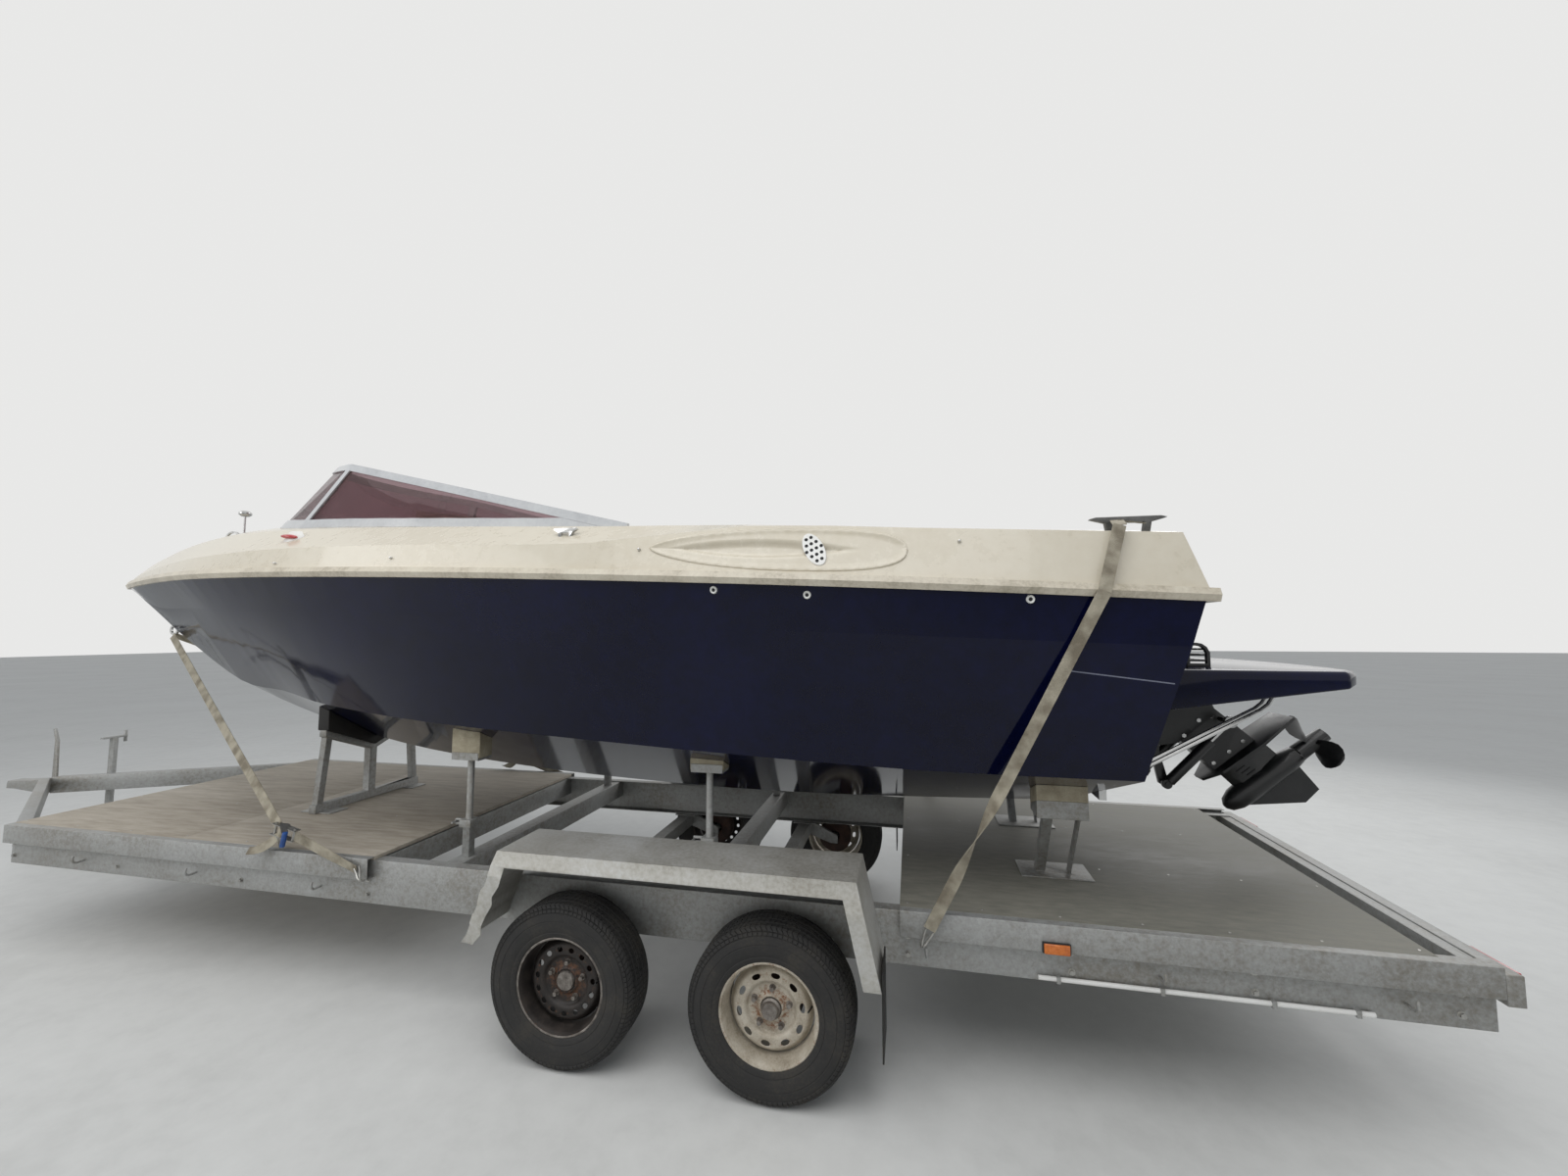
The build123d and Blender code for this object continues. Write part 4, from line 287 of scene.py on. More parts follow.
# Deck: the upper moulding in cream gelcoat, bonded to the hull behind the rub rail. The rail, the
# cockpit tub and the engine lid are the same gelcoat, dulled by a film of dust on top.
cream, tree, shader = surface_of("cream_gelcoat", 0.25, coat=0.35)
weathering(tree, shader, ("c6bda9", "cfc7b5", "d4cdbc"), 900, 60, rough=(0.22, 0.36))
old_cream, tree, shader = surface_of("scuffed_cream_gelcoat", 0.4, coat=0.2)
weathering(tree, shader, ("a59c88", "c6bdab", "d3ccba"), 160, 14, rough=(0.3, 0.55), bump_mm=0.15)
tub_cream, tree, shader = surface_of("textured_cream_gelcoat", 0.5)
weathering(tree, shader, ("c3bdae", "cdc8ba", "d6d1c4"), 300, 5, rough=(0.45, 0.6), bump_mm=0.6)

moulded_copy("deck", cream, "outfit", 16, 50)
moulded_copy("rub_rail", old_cream, "outfit", 14)
moulded_copy("cockpit_tub", tub_cream, "outfit", 60, 40)
moulded_copy("engine_hatch", cream, "hatch", 60, 40)

# Air scoops: a leaf-shaped hollow in each deck side, pointed forward and round aft, with a rolled lip
# all round. It is moulded with the deck, in the same gelcoat.
SCOOP = Vector((1.885, 0, 2.096))
SCOOP_FALL = -0.035
LEAF_HIGH = 0.092
LEAF_WIDEST = 0.103
LEAF_FORWARD = 0.638
LEAF_AFT = 0.432
POCKET_HIGH = 0.052
POCKET_WIDEST = -0.053
POCKET_REACH = 0.44
LIP = [(-7, -1.5), (-4, 2.5), (0, 5.5), (4, 6.8), (9, 5.6), (16, 3.2), (30, 1.0), (90, 0.6)]
LEAF_COLUMNS = 90
LEAF_ROWS = 44
LEAF_EDGE = [-0.007, -0.004, -0.0015]


def between(table, value):
    """A height read off a table of (place, height) rows."""
    for (low, first), (high, second) in zip(table, table[1:]):
        if value <= high:
            return first + (second - first) * max(0.0, (value - low) / (high - low))
    return table[-1][1]


def leaf_half(along):
    """Half the leaf's height at a place along it."""
    if along < LEAF_WIDEST:
        return LEAF_HIGH * max(0.0, 1 - ((LEAF_WIDEST - along) / LEAF_FORWARD) ** 2) ** 0.65
    return LEAF_HIGH * max(0.0, 1 - ((along - LEAF_WIDEST) / LEAF_AFT) ** 3) ** 0.4


def scoop_place(side, along, up):
    """A point on the deck's side panel, and the panel's outward direction there."""
    ends = []
    for way in (-1, 1):
        high = SCOOP.z + SCOOP_FALL * along + way * (leaf_half(along) + 0.012) * 0.94
        ends.append(on_skin("deck", (SCOOP.x + along, side * 3, high), (0, -side, 0))[0])
    rise = (ends[1] - ends[0]).normalized()
    point = (ends[0] + ends[1]) / 2 + rise * up
    return point, rise.cross(Vector((side, 0, 0))).normalized()


leaf_start = LEAF_WIDEST - LEAF_FORWARD
leaf_end = LEAF_WIDEST + LEAF_AFT
columns = [leaf_start + (leaf_end - leaf_start) * (1 - math.cos(math.pi * i / LEAF_COLUMNS)) / 2
           for i in range(LEAF_COLUMNS + 1)]
outline = [Vector((along, way * leaf_half(along), 0)) for way in (1, -1) for along in columns]
shape = bmesh.new()
for side in (-1, 1):
    grid = bmesh.ops.create_grid(shape, x_segments=LEAF_COLUMNS, y_segments=LEAF_ROWS, size=1.0)["verts"]
    for vert in grid:
        column = round((vert.co.x + 1) / 2 * LEAF_COLUMNS)
        row = round((vert.co.y + 1) / 2 * LEAF_ROWS)
        along = columns[column]
        step = min(row, LEAF_ROWS - row)
        way = 1 if row > LEAF_ROWS / 2 else -1
        if column in (0, LEAF_COLUMNS):
            up, lift = 0.0, LIP[0][1]
            along += 0.007 if column else -0.007
        elif step < len(LEAF_EDGE):
            up, lift = way * (leaf_half(along) - LEAF_EDGE[step]), between(LIP, LEAF_EDGE[step] * 1000)
        else:
            share = (row - LEAF_ROWS / 2) / (LEAF_ROWS / 2 - len(LEAF_EDGE))
            up = leaf_half(along) * math.sin(share * math.pi / 2)
            here = Vector((along, up, 0))
            inside = min((here - corner).length for corner in outline[::3]) * 1000
            lift = between(LIP, inside)
            reach = 1 - ((along - POCKET_WIDEST) / POCKET_REACH) ** 2
            sunk = (POCKET_HIGH * reach - abs(up) - 0.004) * 1000
            lift -= 13 * (1 - math.cos(math.pi * min(1.0, max(0.0, sunk / 34)))) / 2
        point, facing = scoop_place(side, max(leaf_start, min(leaf_end, along)), up)
        point.x += along - max(leaf_start, min(leaf_end, along))
        vert.co = point + facing * lift / 1000
bmesh.ops.remove_doubles(shape, verts=shape.verts, dist=0.00005)
bmesh.ops.recalc_face_normals(shape, faces=shape.faces)
settle(shape, "scoop_hollows", [cream], "outfit", math.radians(60), ("scoop_rims",))

# Air grilles in the scoops: oval plates of white moulded plastic, pierced with rows of holes, snapped
# into the deck. The holes are drawn as dark discs on the plate: painted shade.
plastic, tree, shader = surface_of("white_moulded_plastic", 0.35)
weathering(tree, shader, ("dcdbd6", "e6e5e1", "ecebe8"), 90, 7, rough=(0.3, 0.45))
GRILLE_ALONG = 0.17
GRILLE_HALF = (0.041, 0.08)
GRILLE_LEAN = math.radians(27)
HOLE_PITCH = 0.027
HOLE_R = 0.0072
HOLES_IN_ROW = (2, 3, 4, 3, 2)

shape = bmesh.new()
for side in (-1, 1):
    point, facing = scoop_place(side, GRILLE_ALONG, 0.0)
    rise = Vector((0, 0, 1)) - facing * facing.z
    at = Matrix((Vector((1, 0, 0)), rise.normalized(), facing)).transposed().to_4x4()
    at = Matrix.Translation(point + facing * 0.003) @ at @ Matrix.Rotation(GRILLE_LEAN, 4, "Z")
    plate = bmesh.ops.create_cone(shape, cap_ends=True, segments=48, radius1=1.0, radius2=0.97, depth=0.004)
    bmesh.ops.scale(shape, vec=(*GRILLE_HALF, 1.0), verts=plate["verts"])
    bmesh.ops.transform(shape, matrix=at, verts=plate["verts"])
    for row, count in enumerate(HOLES_IN_ROW):
        for hole in range(count):
            where = at @ Vector(((hole - (count - 1) / 2) * HOLE_PITCH * 0.8, (row - 2) * HOLE_PITCH, 0.0022))
            # each hole is a dark disc standing proud of the plate: painted shade
            mouth = bmesh.ops.create_cone(shape, cap_ends=True, segments=14, radius1=HOLE_R, radius2=HOLE_R,
                                          depth=0.0012, matrix=facing_matrix(where, facing))
            for face in {face for vert in mouth["verts"] for face in vert.link_faces}:
                face.material_index = 1
bmesh.ops.recalc_face_normals(shape, faces=shape.faces)
settle(shape, "scoop_grille_plates", [plastic, painted_shade_mouth], "outfit",
       replaces=("scoop_grilles",))

# Windscreen: bent acrylic with a mauve tint in a frame of white coated aluminium section, riveted at the
# mullions. The tail of each side pane is closed by a cream filler panel.
PANE_END_X = 0.80
PANE_END_Z = 2.36
coated, tree, shader = surface_of("white_coated_aluminium", 0.3, coat=0.3)
weathering(tree, shader, ("a9abad", "b6b8ba", "c0c2c3"), 240, 18, rough=(0.25, 0.4))
glazing, tree, shader = surface_of("mauve_tinted_acrylic", 0.04)
shader.inputs["Transmission Weight"].default_value = 1.0
shader.inputs["IOR"].default_value = 1.12
weathering(tree, shader, ("8d7478", "94797e", "9b8085"), 600, 90)
shader.inputs["Alpha"].default_value = 0.85

moulded_copy("windscreen_frame", coated, "outfit", 60, 24)
shape = merged("windscreen_glass")
bmesh.ops.bisect_plane(shape, geom=shape.verts[:] + shape.edges[:] + shape.faces[:], dist=1e-5,
                       plane_co=(PANE_END_X, 0, PANE_END_Z), plane_no=(1, 0, 0.35))
for face in shape.faces:
    middle = face.calc_center_median()
    if middle.x - PANE_END_X + 0.35 * (middle.z - PANE_END_Z) > 0:
        face.material_index = 1
settle(shape, "windscreen_panes", [glazing, cream], "outfit", math.radians(20),
       ("windscreen_glass",))

# Deck fittings: polished stainless bow hoops and light pole, cast cleats, plastic lamps. All stand on
# the deck with countersunk screws.
stainless, tree, shader = surface_of("polished_stainless", 0.14, metal=1.0)
weathering(tree, shader, ("b9b9b8", "c9c9c8", "d6d6d5"), 50, 5, rough=(0.1, 0.24))
cast_grey, tree, shader = surface_of("dull_cast_aluminium", 0.5, metal=0.7)
weathering(tree, shader, ("4c4c4b", "626261", "777776"), 70, 4, rough=(0.4, 0.6), bump_mm=0.3)
red_lens, tree, shader = surface_of("red_acrylic_lens", 0.15, coat=0.6)
weathering(tree, shader, ("a3282e", "b8353b", "c24a4c"), 40, 6, rough=(0.1, 0.25))
green_lens, tree, shader = surface_of("green_acrylic_lens", 0.15, coat=0.6)
weathering(tree, shader, ("1d6b46", "25805a", "308f67"), 40, 6, rough=(0.1, 0.25))


def soften(shape, edges, width, segments, clamp=False):
    """Rounds sharp edges over a width in metres."""
    bmesh.ops.bevel(shape, geom=edges, offset=width, offset_type="OFFSET", segments=segments, profile=0.5,
                    affect="EDGES", material=-1, clamp_overlap=clamp)


def bevelled_copy(name, materials, body, width_mm, corner_degrees=30, segments=2):
    """A node's own shape with flat faces made whole and its sharp edges broken."""
    shape = merged(name)
    bmesh.ops.dissolve_limit(shape, angle_limit=math.radians(0.6), verts=shape.verts, edges=shape.edges)
    corners = [edge for edge in shape.edges
               if len(edge.link_faces) == 2 and math.degrees(edge.calc_face_angle(0)) > corner_degrees]
    soften(shape, corners, width_mm / 1000, segments, True)
    return settle(shape, name + "_made", materials, body, math.radians(32), (name,))


STERN_CLEATS_X = 3.0
piece = bevelled_copy("cleats", [stainless, cast_grey], "outfit", 2.5)
for face in piece.data.polygons:
    face.material_index = 1 if face.center.x > STERN_CLEATS_X else 0
bevelled_copy("bow_fittings", [stainless], "outfit", 0.6, 50, 1)
bevelled_copy("hatch_hinges", [stainless], "outfit", 0.8)
bevelled_copy("platform_stays", [stainless], "outfit", 0.6, 50, 1)

# Side lamps: drop-shaped white housings with a coloured lens along the outer face, red to port.
lamp_low, lamp_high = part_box("side_lamps")
bevelled_copy("side_lamps", [plastic], "outfit", 4.0, 25, 3)
for side, lens, word in ((-1, red_lens, "port"), (1, green_lens, "starboard")):
    shape = bmesh.new()
    middle_x = (lamp_low.x + lamp_high.x) / 2 - 0.012
    point, facing = on_skin("side_lamps", (middle_x, side * 3, (lamp_low.z + lamp_high.z) / 2), (0, -side, 0))
    bmesh.ops.create_uvsphere(shape, u_segments=28, v_segments=16, radius=1.0)
    bmesh.ops.scale(shape, vec=(0.052, 0.02, 0.012), verts=shape.verts)
    bmesh.ops.rotate(shape, cent=(0, 0, 0), verts=shape.verts,
                     matrix=Matrix.Rotation(math.radians(4), 3, "Y"))
    bmesh.ops.translate(shape, vec=point, verts=shape.verts)
    settle(shape, f"side_lamp_lens_{word}", [lens], "outfit", math.radians(60))

# Cover studs: stainless buttons for the cover's snaps, four along each side of the deck.
STUD_R = 0.008
shape = bmesh.new()
for x in (-0.75, 0.02, 1.30, 2.62):
    for side in (-1, 1):
        point, facing = on_skin("deck", (x, side * 2.5, 2.11), (0, -side, 0))
        at = facing_matrix(point, facing)
        bmesh.ops.create_cone(shape, cap_ends=True, segments=20, radius1=STUD_R, radius2=STUD_R * 0.7,
                              depth=0.009, matrix=at @ Matrix.Translation((0, 0, 0.003)))
        bmesh.ops.create_uvsphere(shape, u_segments=16, v_segments=8, radius=STUD_R * 0.7,
                                  matrix=at @ Matrix.Translation((0, 0, 0.008)))
settle(shape, "cover_studs", [stainless], "outfit")

# Dashboard: white moulded fascia with five round gauges in bright bezels and a row of rocker switches.
black_plastic, tree, shader = surface_of("black_moulded_plastic", 0.4)
weathering(tree, shader, ("0f0f10", "151516", "1d1d1e"), 60, 4, rough=(0.32, 0.5))
gauge_face, tree, shader = surface_of("black_gauge_glass", 0.08, coat=0.8)
weathering(tree, shader, ("0c0d0f", "101114", "15161a"), 50, 5)
bevelled_copy("dashboard", [plastic], "outfit", 8.0, 20, 3)
GAUGES = [(0.12, 0.045), (0.235, 0.03), (-0.02, 0.03), (-0.13, 0.03), (-0.30, 0.045)]
shape = bmesh.new()
for y, radius in GAUGES:
    point, facing = on_skin("dashboard", (1.0, y, 2.09), (-1, 0, 0))
    at = facing_matrix(point, facing)
    bmesh.ops.create_cone(shape, cap_ends=True, segments=36, radius1=radius, radius2=radius * 0.93,
                          depth=0.012, matrix=at @ Matrix.Translation((0, 0, 0.003)))
    front = max((face for face in shape.faces if (face.calc_center_median() - point).length < radius * 0.5),
                key=lambda face: (face.calc_center_median() - point).dot(facing))
    bmesh.ops.inset_region(shape, faces=[front], thickness=0.005, depth=-0.002)
    front.material_index = 1
settle(shape, "gauges", [stainless, gauge_face], "outfit")
shape = bmesh.new()
for i in range(6):
    point, facing = on_skin("dashboard", (1.0, -0.02 - 0.045 * i, 2.02), (-1, 0, 0))
    bmesh.ops.create_cube(shape, size=1.0,
                          matrix=facing_matrix(point, facing) @ Matrix.Diagonal((0.014, 0.026, 0.012, 1)))
soften(shape, shape.edges[:], 0.002, 2)
settle(shape, "rocker_switches", [black_plastic], "outfit")

# Steering wheel: a steel core moulded in black foam, three spokes, column through the fascia.
grip, tree, shader = surface_of("black_grained_foam", 0.55)
weathering(tree, shader, ("101011", "171718", "1f1f20"), 60, 2, rough=(0.5, 0.65), bump_mm=0.3)
bevelled_copy("steering_wheel", [grip], "helm", 5.0, 28, 3)

# Seats: moulded glass-fibre shells and a bench, with foam cushions in cream vinyl. Each cushion is sewn
# from a top, a bottom and a boxing strip with piping, and swells between its seams.
vinyl, tree, shader = surface_of("cream_vinyl", 0.5)
turned = weathering(tree, shader, ("c5bfae", "d2ccbc", "dad5c7"), 220, 30, rough=(0.42, 0.58))[0]
# Leather-cloth grain is about 1.5 mm; drawn at 3 mm so that it shows
grain = add_node(tree, "ShaderNodeTexVoronoi", {"Vector": turned.outputs[0], "Scale": 1000 / 3.0},
                 feature="DISTANCE_TO_EDGE")
bump = add_node(tree, "ShaderNodeBump",
                {"Height": grain.outputs["Distance"], "Strength": 0.5, "Distance": 0.0004})
tree.links.new(bump.outputs["Normal"], shader.inputs["Normal"])
piping_vinyl, tree, shader = surface_of("brown_vinyl_piping", 0.45)
weathering(tree, shader, ("6a5a48", "776553", "84725f"), 80, 4, rough=(0.4, 0.55))
bevelled_copy("seat_bases", [tub_cream], "outfit", 9.0, 30, 3)
# name, corners of the side outline as x and z, middle, half width, number of sewn channels
SEAT_SIDE = 0.33
CUSHIONS = []
for side, word in ((-1, "port"), (1, "starboard")):
    CUSHIONS.append((f"seat_cushion_{word}", [(0.33, 1.6803), (0.75, 1.6603), (0.766, 1.730), (0.33, 1.765)],
                     side * SEAT_SIDE, 0.22, 3))
    CUSHIONS.append((f"seat_back_{word}", [(0.7717, 1.736), (0.8584, 2.120), (0.790, 2.130), (0.695, 1.746)],
                     side * SEAT_SIDE, 0.22, 3))
CUSHIONS.append(("bench_cushion", [(1.725, 1.6503), (2.165, 1.6503), (2.161, 1.745), (1.725, 1.755)], 0.0,
                 0.635, 5))
CUSHIONS.append(("bench_back", [(2.1723, 1.752), (2.1875, 2.040), (2.122, 2.045), (2.087, 1.752)], 0.0,
                 0.635, 5))
SHRINK = 0.007
VOXEL = 0.009
CAP = 0.009


def tube_along(points, radius, closed=False, smooth=True, sides=3):
    """A round bar or cord along points, as a bmesh."""
    line = bpy.data.curves.new("line", "CURVE")
    line.dimensions = "3D"
    line.bevel_depth = radius
    line.bevel_resolution = sides
    line.resolution_u = 6
    line.use_fill_caps = True
    run = line.splines.new("NURBS" if smooth else "POLY")
    run.points.add(len(points) - 1)
    for spot, point in zip(run.points, points):
        spot.co = (*point, 1)
    if smooth:
        run.order_u = 3
        run.use_endpoint_u = not closed
    run.use_cyclic_u = closed
    holder = bpy.data.objects.new("line", line)
    mesh = bpy.data.meshes.new_from_object(holder)
    bpy.data.objects.remove(holder)
    shape = bmesh.new()
    shape.from_mesh(mesh)
    bpy.data.meshes.remove(mesh)
    return shape


def add_shape(whole, part, material_index=0, at=None):
    """Puts one bmesh into another, in place."""
    for face in part.faces:
        face.material_index = material_index
    if at is not None:
        bmesh.ops.transform(part, matrix=at, verts=part.verts)
    carrier = bpy.data.meshes.new("carrier")
    part.to_mesh(carrier)
    part.free()
    whole.from_mesh(carrier)
    bpy.data.meshes.remove(carrier)


def applied(piece):
    """The piece with its modifiers made part of its mesh."""
    mesh = bpy.data.meshes.new_from_object(piece.evaluated_get(bpy.context.evaluated_depsgraph_get()))
    piece.modifiers.clear()
    old = piece.data
    piece.data = mesh
    bpy.data.meshes.remove(old)


for name, outline, middle_y, half_width, channels in CUSHIONS:
    centre_x = sum(x for x, z in outline) / 4
    centre_z = sum(z for x, z in outline) / 4
    shape = bmesh.new()
    corners = []
    for x, z in outline:
        way = Vector((x - centre_x, 0, z - centre_z))
        short = way - Vector((math.copysign(SHRINK, way.x), 0, math.copysign(SHRINK, way.z)))
        corners.append(shape.verts.new((centre_x + short.x, middle_y - half_width + SHRINK,
                                        centre_z + short.z)))
    side_face = shape.faces.new(corners)
    grown = bmesh.ops.extrude_face_region(shape, geom=[side_face])
    bmesh.ops.translate(shape, vec=(0, 2 * (half_width - SHRINK), 0),
                        verts=[v for v in grown["geom"] if isinstance(v, bmesh.types.BMVert)])
    bmesh.ops.recalc_face_normals(shape, faces=shape.faces)
    soften(shape, shape.edges[:], 0.014, 3)
    cushion = bpy.data.objects.new(name, bpy.data.meshes.new(name))
    shape.to_mesh(cushion.data)
    shape.free()
    cushion.data.materials.append(vinyl)
    scene.collection.objects.link(cushion)
    remesh = cushion.modifiers.new("even", "REMESH")
    remesh.mode = "VOXEL"
    remesh.voxel_size = VOXEL
    applied(cushion)
    start = [v.co.copy() for v in cushion.data.vertices]
    cloth = cushion.modifiers.new("stuffing", "CLOTH")
    cloth.settings.use_pressure = True
    cloth.settings.uniform_pressure_force = 4.0
    cloth.settings.effector_weights.gravity = 0
    cloth.settings.tension_stiffness = 30
    cloth.settings.quality = 5
    cloth.point_cache.frame_end = 20
    for moment in range(1, 21):
        scene.frame_set(moment)
    applied(cushion)
    scene.frame_set(1)
    lengthwise = abs(outline[1][0] - outline[0][0]) > abs(outline[1][1] - outline[0][1])
    for vertex, before in zip(cushion.data.vertices, start):
        move = vertex.co - before
        if move.length > CAP:
            move *= CAP / move.length
        # sewn channels across the width, pulled in along their seams
        share = (before.y - middle_y + half_width) / (2 * half_width) * channels
        seam = abs(share - round(share)) * 2 * half_width / channels
        pull = 0.006 * math.exp(-((seam / 0.008) ** 2)) if 0 < round(share) < channels else 0.0
        inward = Vector((centre_x - before.x, 0, centre_z - before.z)).normalized()
        vertex.co = before + move + inward * pull
    finer = cushion.modifiers.new("smooth", "SUBSURF")
    finer.levels = 1
    finer.render_levels = 1
    applied(cushion)
    cushion.data.shade_smooth()
    # piping round the two ends
    sewn = bmesh.new()
    sewn.from_mesh(cushion.data)
    for end in (-1, 1):
        y = middle_y + end * (half_width - 0.006)
        loop = [(centre_x + (x - centre_x) * 0.94, y, centre_z + (z - centre_z) * 0.86) for x, z in outline]
        add_shape(sewn, tube_along(loop, 0.0035, closed=True, smooth=False), 1)
    sewn.to_mesh(cushion.data)
    sewn.free()
    cushion.data.materials.append(piping_vinyl)
    cushion.data.shade_smooth()
    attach(cushion, "outfit")
    if name == "seat_cushion_port":
        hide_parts("seat_cushions")

# Engine under the lid: its block, dull black, with oily patches.
engine_paint, tree, shader = surface_of("oily_black_paint", 0.5)
weathering(tree, shader, ("101010", "1a1a1a", "2a2622"), 90, 10, rough=(0.3, 0.65), bump_mm=0.4)
bevelled_copy("engine_block", [engine_paint], "outfit", 18.0, 30, 3)

# Swim platform: a navy moulding bolted to the transom, with a moulded non-slip field on top, and a
# folded ladder of black tube lashed flat on it.
bevelled_copy("swim_platform", [navy], "outfit", 9.0, 24, 3)
black_paint, tree, shader = surface_of("black_marine_paint", 0.35, coat=0.15)
weathering(tree, shader, ("0f1011", "161718", "232425"), 110, 6, rough=(0.28, 0.5), bump_mm=0.2)
bevelled_copy("boarding_ladder", [black_paint], "outfit", 4.0, 25, 3)

# Stern drive: cast aluminium in black marine paint. Shield, gimbal ring, leg with its
# plate and skeg, two trim rams with bright rods, and a three-bladed propeller with its spline nut.
for name, body, slot, width, corner in (
    ("transom_shield", "outfit", "black_paint", 5.0, 30), ("gimbal_ring", "ring", "black_paint", 3.0, 30),
    ("drive_leg", "leg", "black_paint", 7.0, 34), ("trim_barrels", "barrels", "black_paint", 1.5, 40),
):
    bevelled_copy(name, [black_paint], body, width, corner, 3)
zinc, tree, shader = surface_of("pitted_zinc", 0.6, metal=0.6)
weathering(tree, shader, ("8a8b88", "a3a4a1", "b9bab6"), 40, 3, rough=(0.5, 0.7), bump_mm=0.5)
bright_rod, tree, shader = surface_of("ground_stainless_rod", 0.18, metal=1.0)
weathering(tree, shader, ("a9a9a8", "bebebd", "cdcdcc"), 30, 3, rough=(0.12, 0.26))
moulded_copy("trim_rods", bright_rod, "rods", 60, 40)
PIVOT = Vector((3.58, 0, 1.27))
DRIVE_TILT = math.radians(40)


def on_drive(aft, across, down):
    """A point of the stowed drive, given in the drive's own upright frame."""
    turn = Matrix.Rotation(-DRIVE_TILT, 4, "Y")
    return PIVOT + turn @ Vector((aft, across, -down))


shape = bmesh.new()
for side in (-1, 1):
    for row in range(4):
        # water intakes: slots with a raised lip on the lower leg, drawn as dark bars of painted shade
        start = on_drive(0.20 + 0.012 * row, side * 0.5, 0.39 + 0.02 * row)
        point, facing = on_skin("drive_leg", start, (0, -side, 0))
        bmesh.ops.create_cube(shape, size=1.0, matrix=facing_matrix(point, facing)
                              @ Matrix.Rotation(DRIVE_TILT, 4, "Z")
                              @ Matrix.Diagonal((0.05, 0.006, 0.004, 1)))
soften(shape, shape.edges[:], 0.0015, 2)
settle(shape, "water_intakes", [painted_shade_mouth], "leg")
shape = bmesh.new()
for side in (-1, 1):
    for aft, down in ((0.10, 0.10), (0.20, 0.085), (0.265, 0.12), (0.12, 0.29), (0.21, 0.29), (0.29, 0.29)):
        start = on_drive(aft, side * 0.5, down)
        point, facing = on_skin("drive_leg", start, (0, -side, 0))
        if point:
            bmesh.ops.create_cone(shape, cap_ends=True, segments=6, radius1=0.011, radius2=0.010, depth=0.012,
                                  matrix=facing_matrix(point, facing))
settle(shape, "drive_bolts", [stainless], "leg")
shape = bmesh.new()
bmesh.ops.create_cube(shape, size=1.0, matrix=Matrix.Translation(on_drive(0.40, 0, 0.344))
                      @ Matrix.Rotation(-DRIVE_TILT, 4, "Y") @ Matrix.Diagonal((0.10, 0.05, 0.026, 1)))
soften(shape, shape.edges[:], 0.006, 3)
settle(shape, "zinc_anode", [zinc], "leg")

shape = merged("propeller")
bmesh.ops.dissolve_limit(shape, angle_limit=math.radians(0.5), verts=shape.verts, edges=shape.edges)
piece = settle(shape, "propeller_made", [black_paint], "screw", math.radians(50),
               ("propeller",))
for hose_y in (-0.135, 0.135):
    # rubber hydraulic hose from the shield's foot to the ram, lying against the shield
    hose = [(3.345, hose_y, 1.40), (3.40, hose_y, 1.385), (3.43, hose_y * 1.05, 1.33),
            (3.42, hose_y * 1.05, 1.25),
            (3.375, hose_y, 1.18), (3.335, hose_y, 1.14)]
    settle(tube_along(hose, 0.0075), "trim_hose_port" if hose_y < 0 else "trim_hose_starboard",
           [black_plastic],
           "outfit", math.radians(60))

# Straps: cream polyester webbing, 46 mm wide, woven with a rib along each edge. The bow strap runs from the
# eye to a ratchet and on to its hook, the stern strap from the cleat over the deck's edge, with one twist.
WEB_W = 0.046
WEB_T = 0.0028
webbing, tree, shader = surface_of("polyester_webbing", 0.8)
place = add_node(tree, "ShaderNodeTexCoord")
weave = add_node(tree, "ShaderNodeMapping", {"Vector": place.outputs["UV"], "Scale": (400.0, 9.2, 1.0)})
threads = add_node(tree, "ShaderNodeTexWave", {"Vector": weave.outputs[0], "Scale": 1.0, "Distortion": 0.6})
ribs = add_node(tree, "ShaderNodeTexWave", {"Vector": weave.outputs[0], "Scale": 1.0}, bands_direction="Y")
both = add_node(tree, "ShaderNodeMath", {0: threads.outputs["Fac"], 1: ribs.outputs["Fac"]}, operation="ADD")
dirt = add_node(tree, "ShaderNodeTexNoise", {"Vector": place.outputs["Object"], "Scale": 14.0, "Detail": 6.0})
tone = add_node(tree, "ShaderNodeValToRGB", {"Fac": dirt.outputs["Fac"]})
tone.color_ramp.elements[0].position = 0.35
tone.color_ramp.elements[0].color = colour("857c6b")
tone.color_ramp.elements[1].position = 0.62
tone.color_ramp.elements[1].color = colour("b9b19e")
tree.links.new(tone.outputs[0], shader.inputs["Base Color"])
bump = add_node(tree, "ShaderNodeBump", {"Height": both.outputs[0], "Strength": 0.6, "Distance": 0.0008})
tree.links.new(bump.outputs["Normal"], shader.inputs["Normal"])


def web_run(start, end, face, steps=40, twist=0.0, sag=0.0):
    """A run of webbing between two points, its flat side towards face, turned on itself by twist."""
    start, end = Vector(start), Vector(end)
    way = end - start
    length = way.length
    run = bmesh.new()
    bmesh.ops.create_grid(run, x_segments=steps, y_segments=4, size=0.5, calc_uvs=True)
    uv = run.loops.layers.uv.active or run.loops.layers.uv.new("UVMap")
    for f in run.faces:
        for loop in f.loops:
            loop[uv].uv = ((loop.vert.co.x + 0.5) * length, loop.vert.co.y + 0.5)
    along = way.normalized()
    out = (Vector(face) - along * Vector(face).dot(along)).normalized()
    across = out.cross(along)
    for v in run.verts:
        u = v.co.x + 0.5
        turn = twist * min(max((u - 0.55) / 0.3, 0), 1)
        reach = v.co.y * WEB_W
        v.co = start + way * u + (across * math.cos(turn) + out * math.sin(turn)) * reach \
            - Vector((0, 0, sag * 4 * u * (1 - u)))
    bmesh.ops.recalc_face_normals(run, faces=run.faces)
    bmesh.ops.solidify(run, geom=run.faces[:], thickness=WEB_T)
    return run


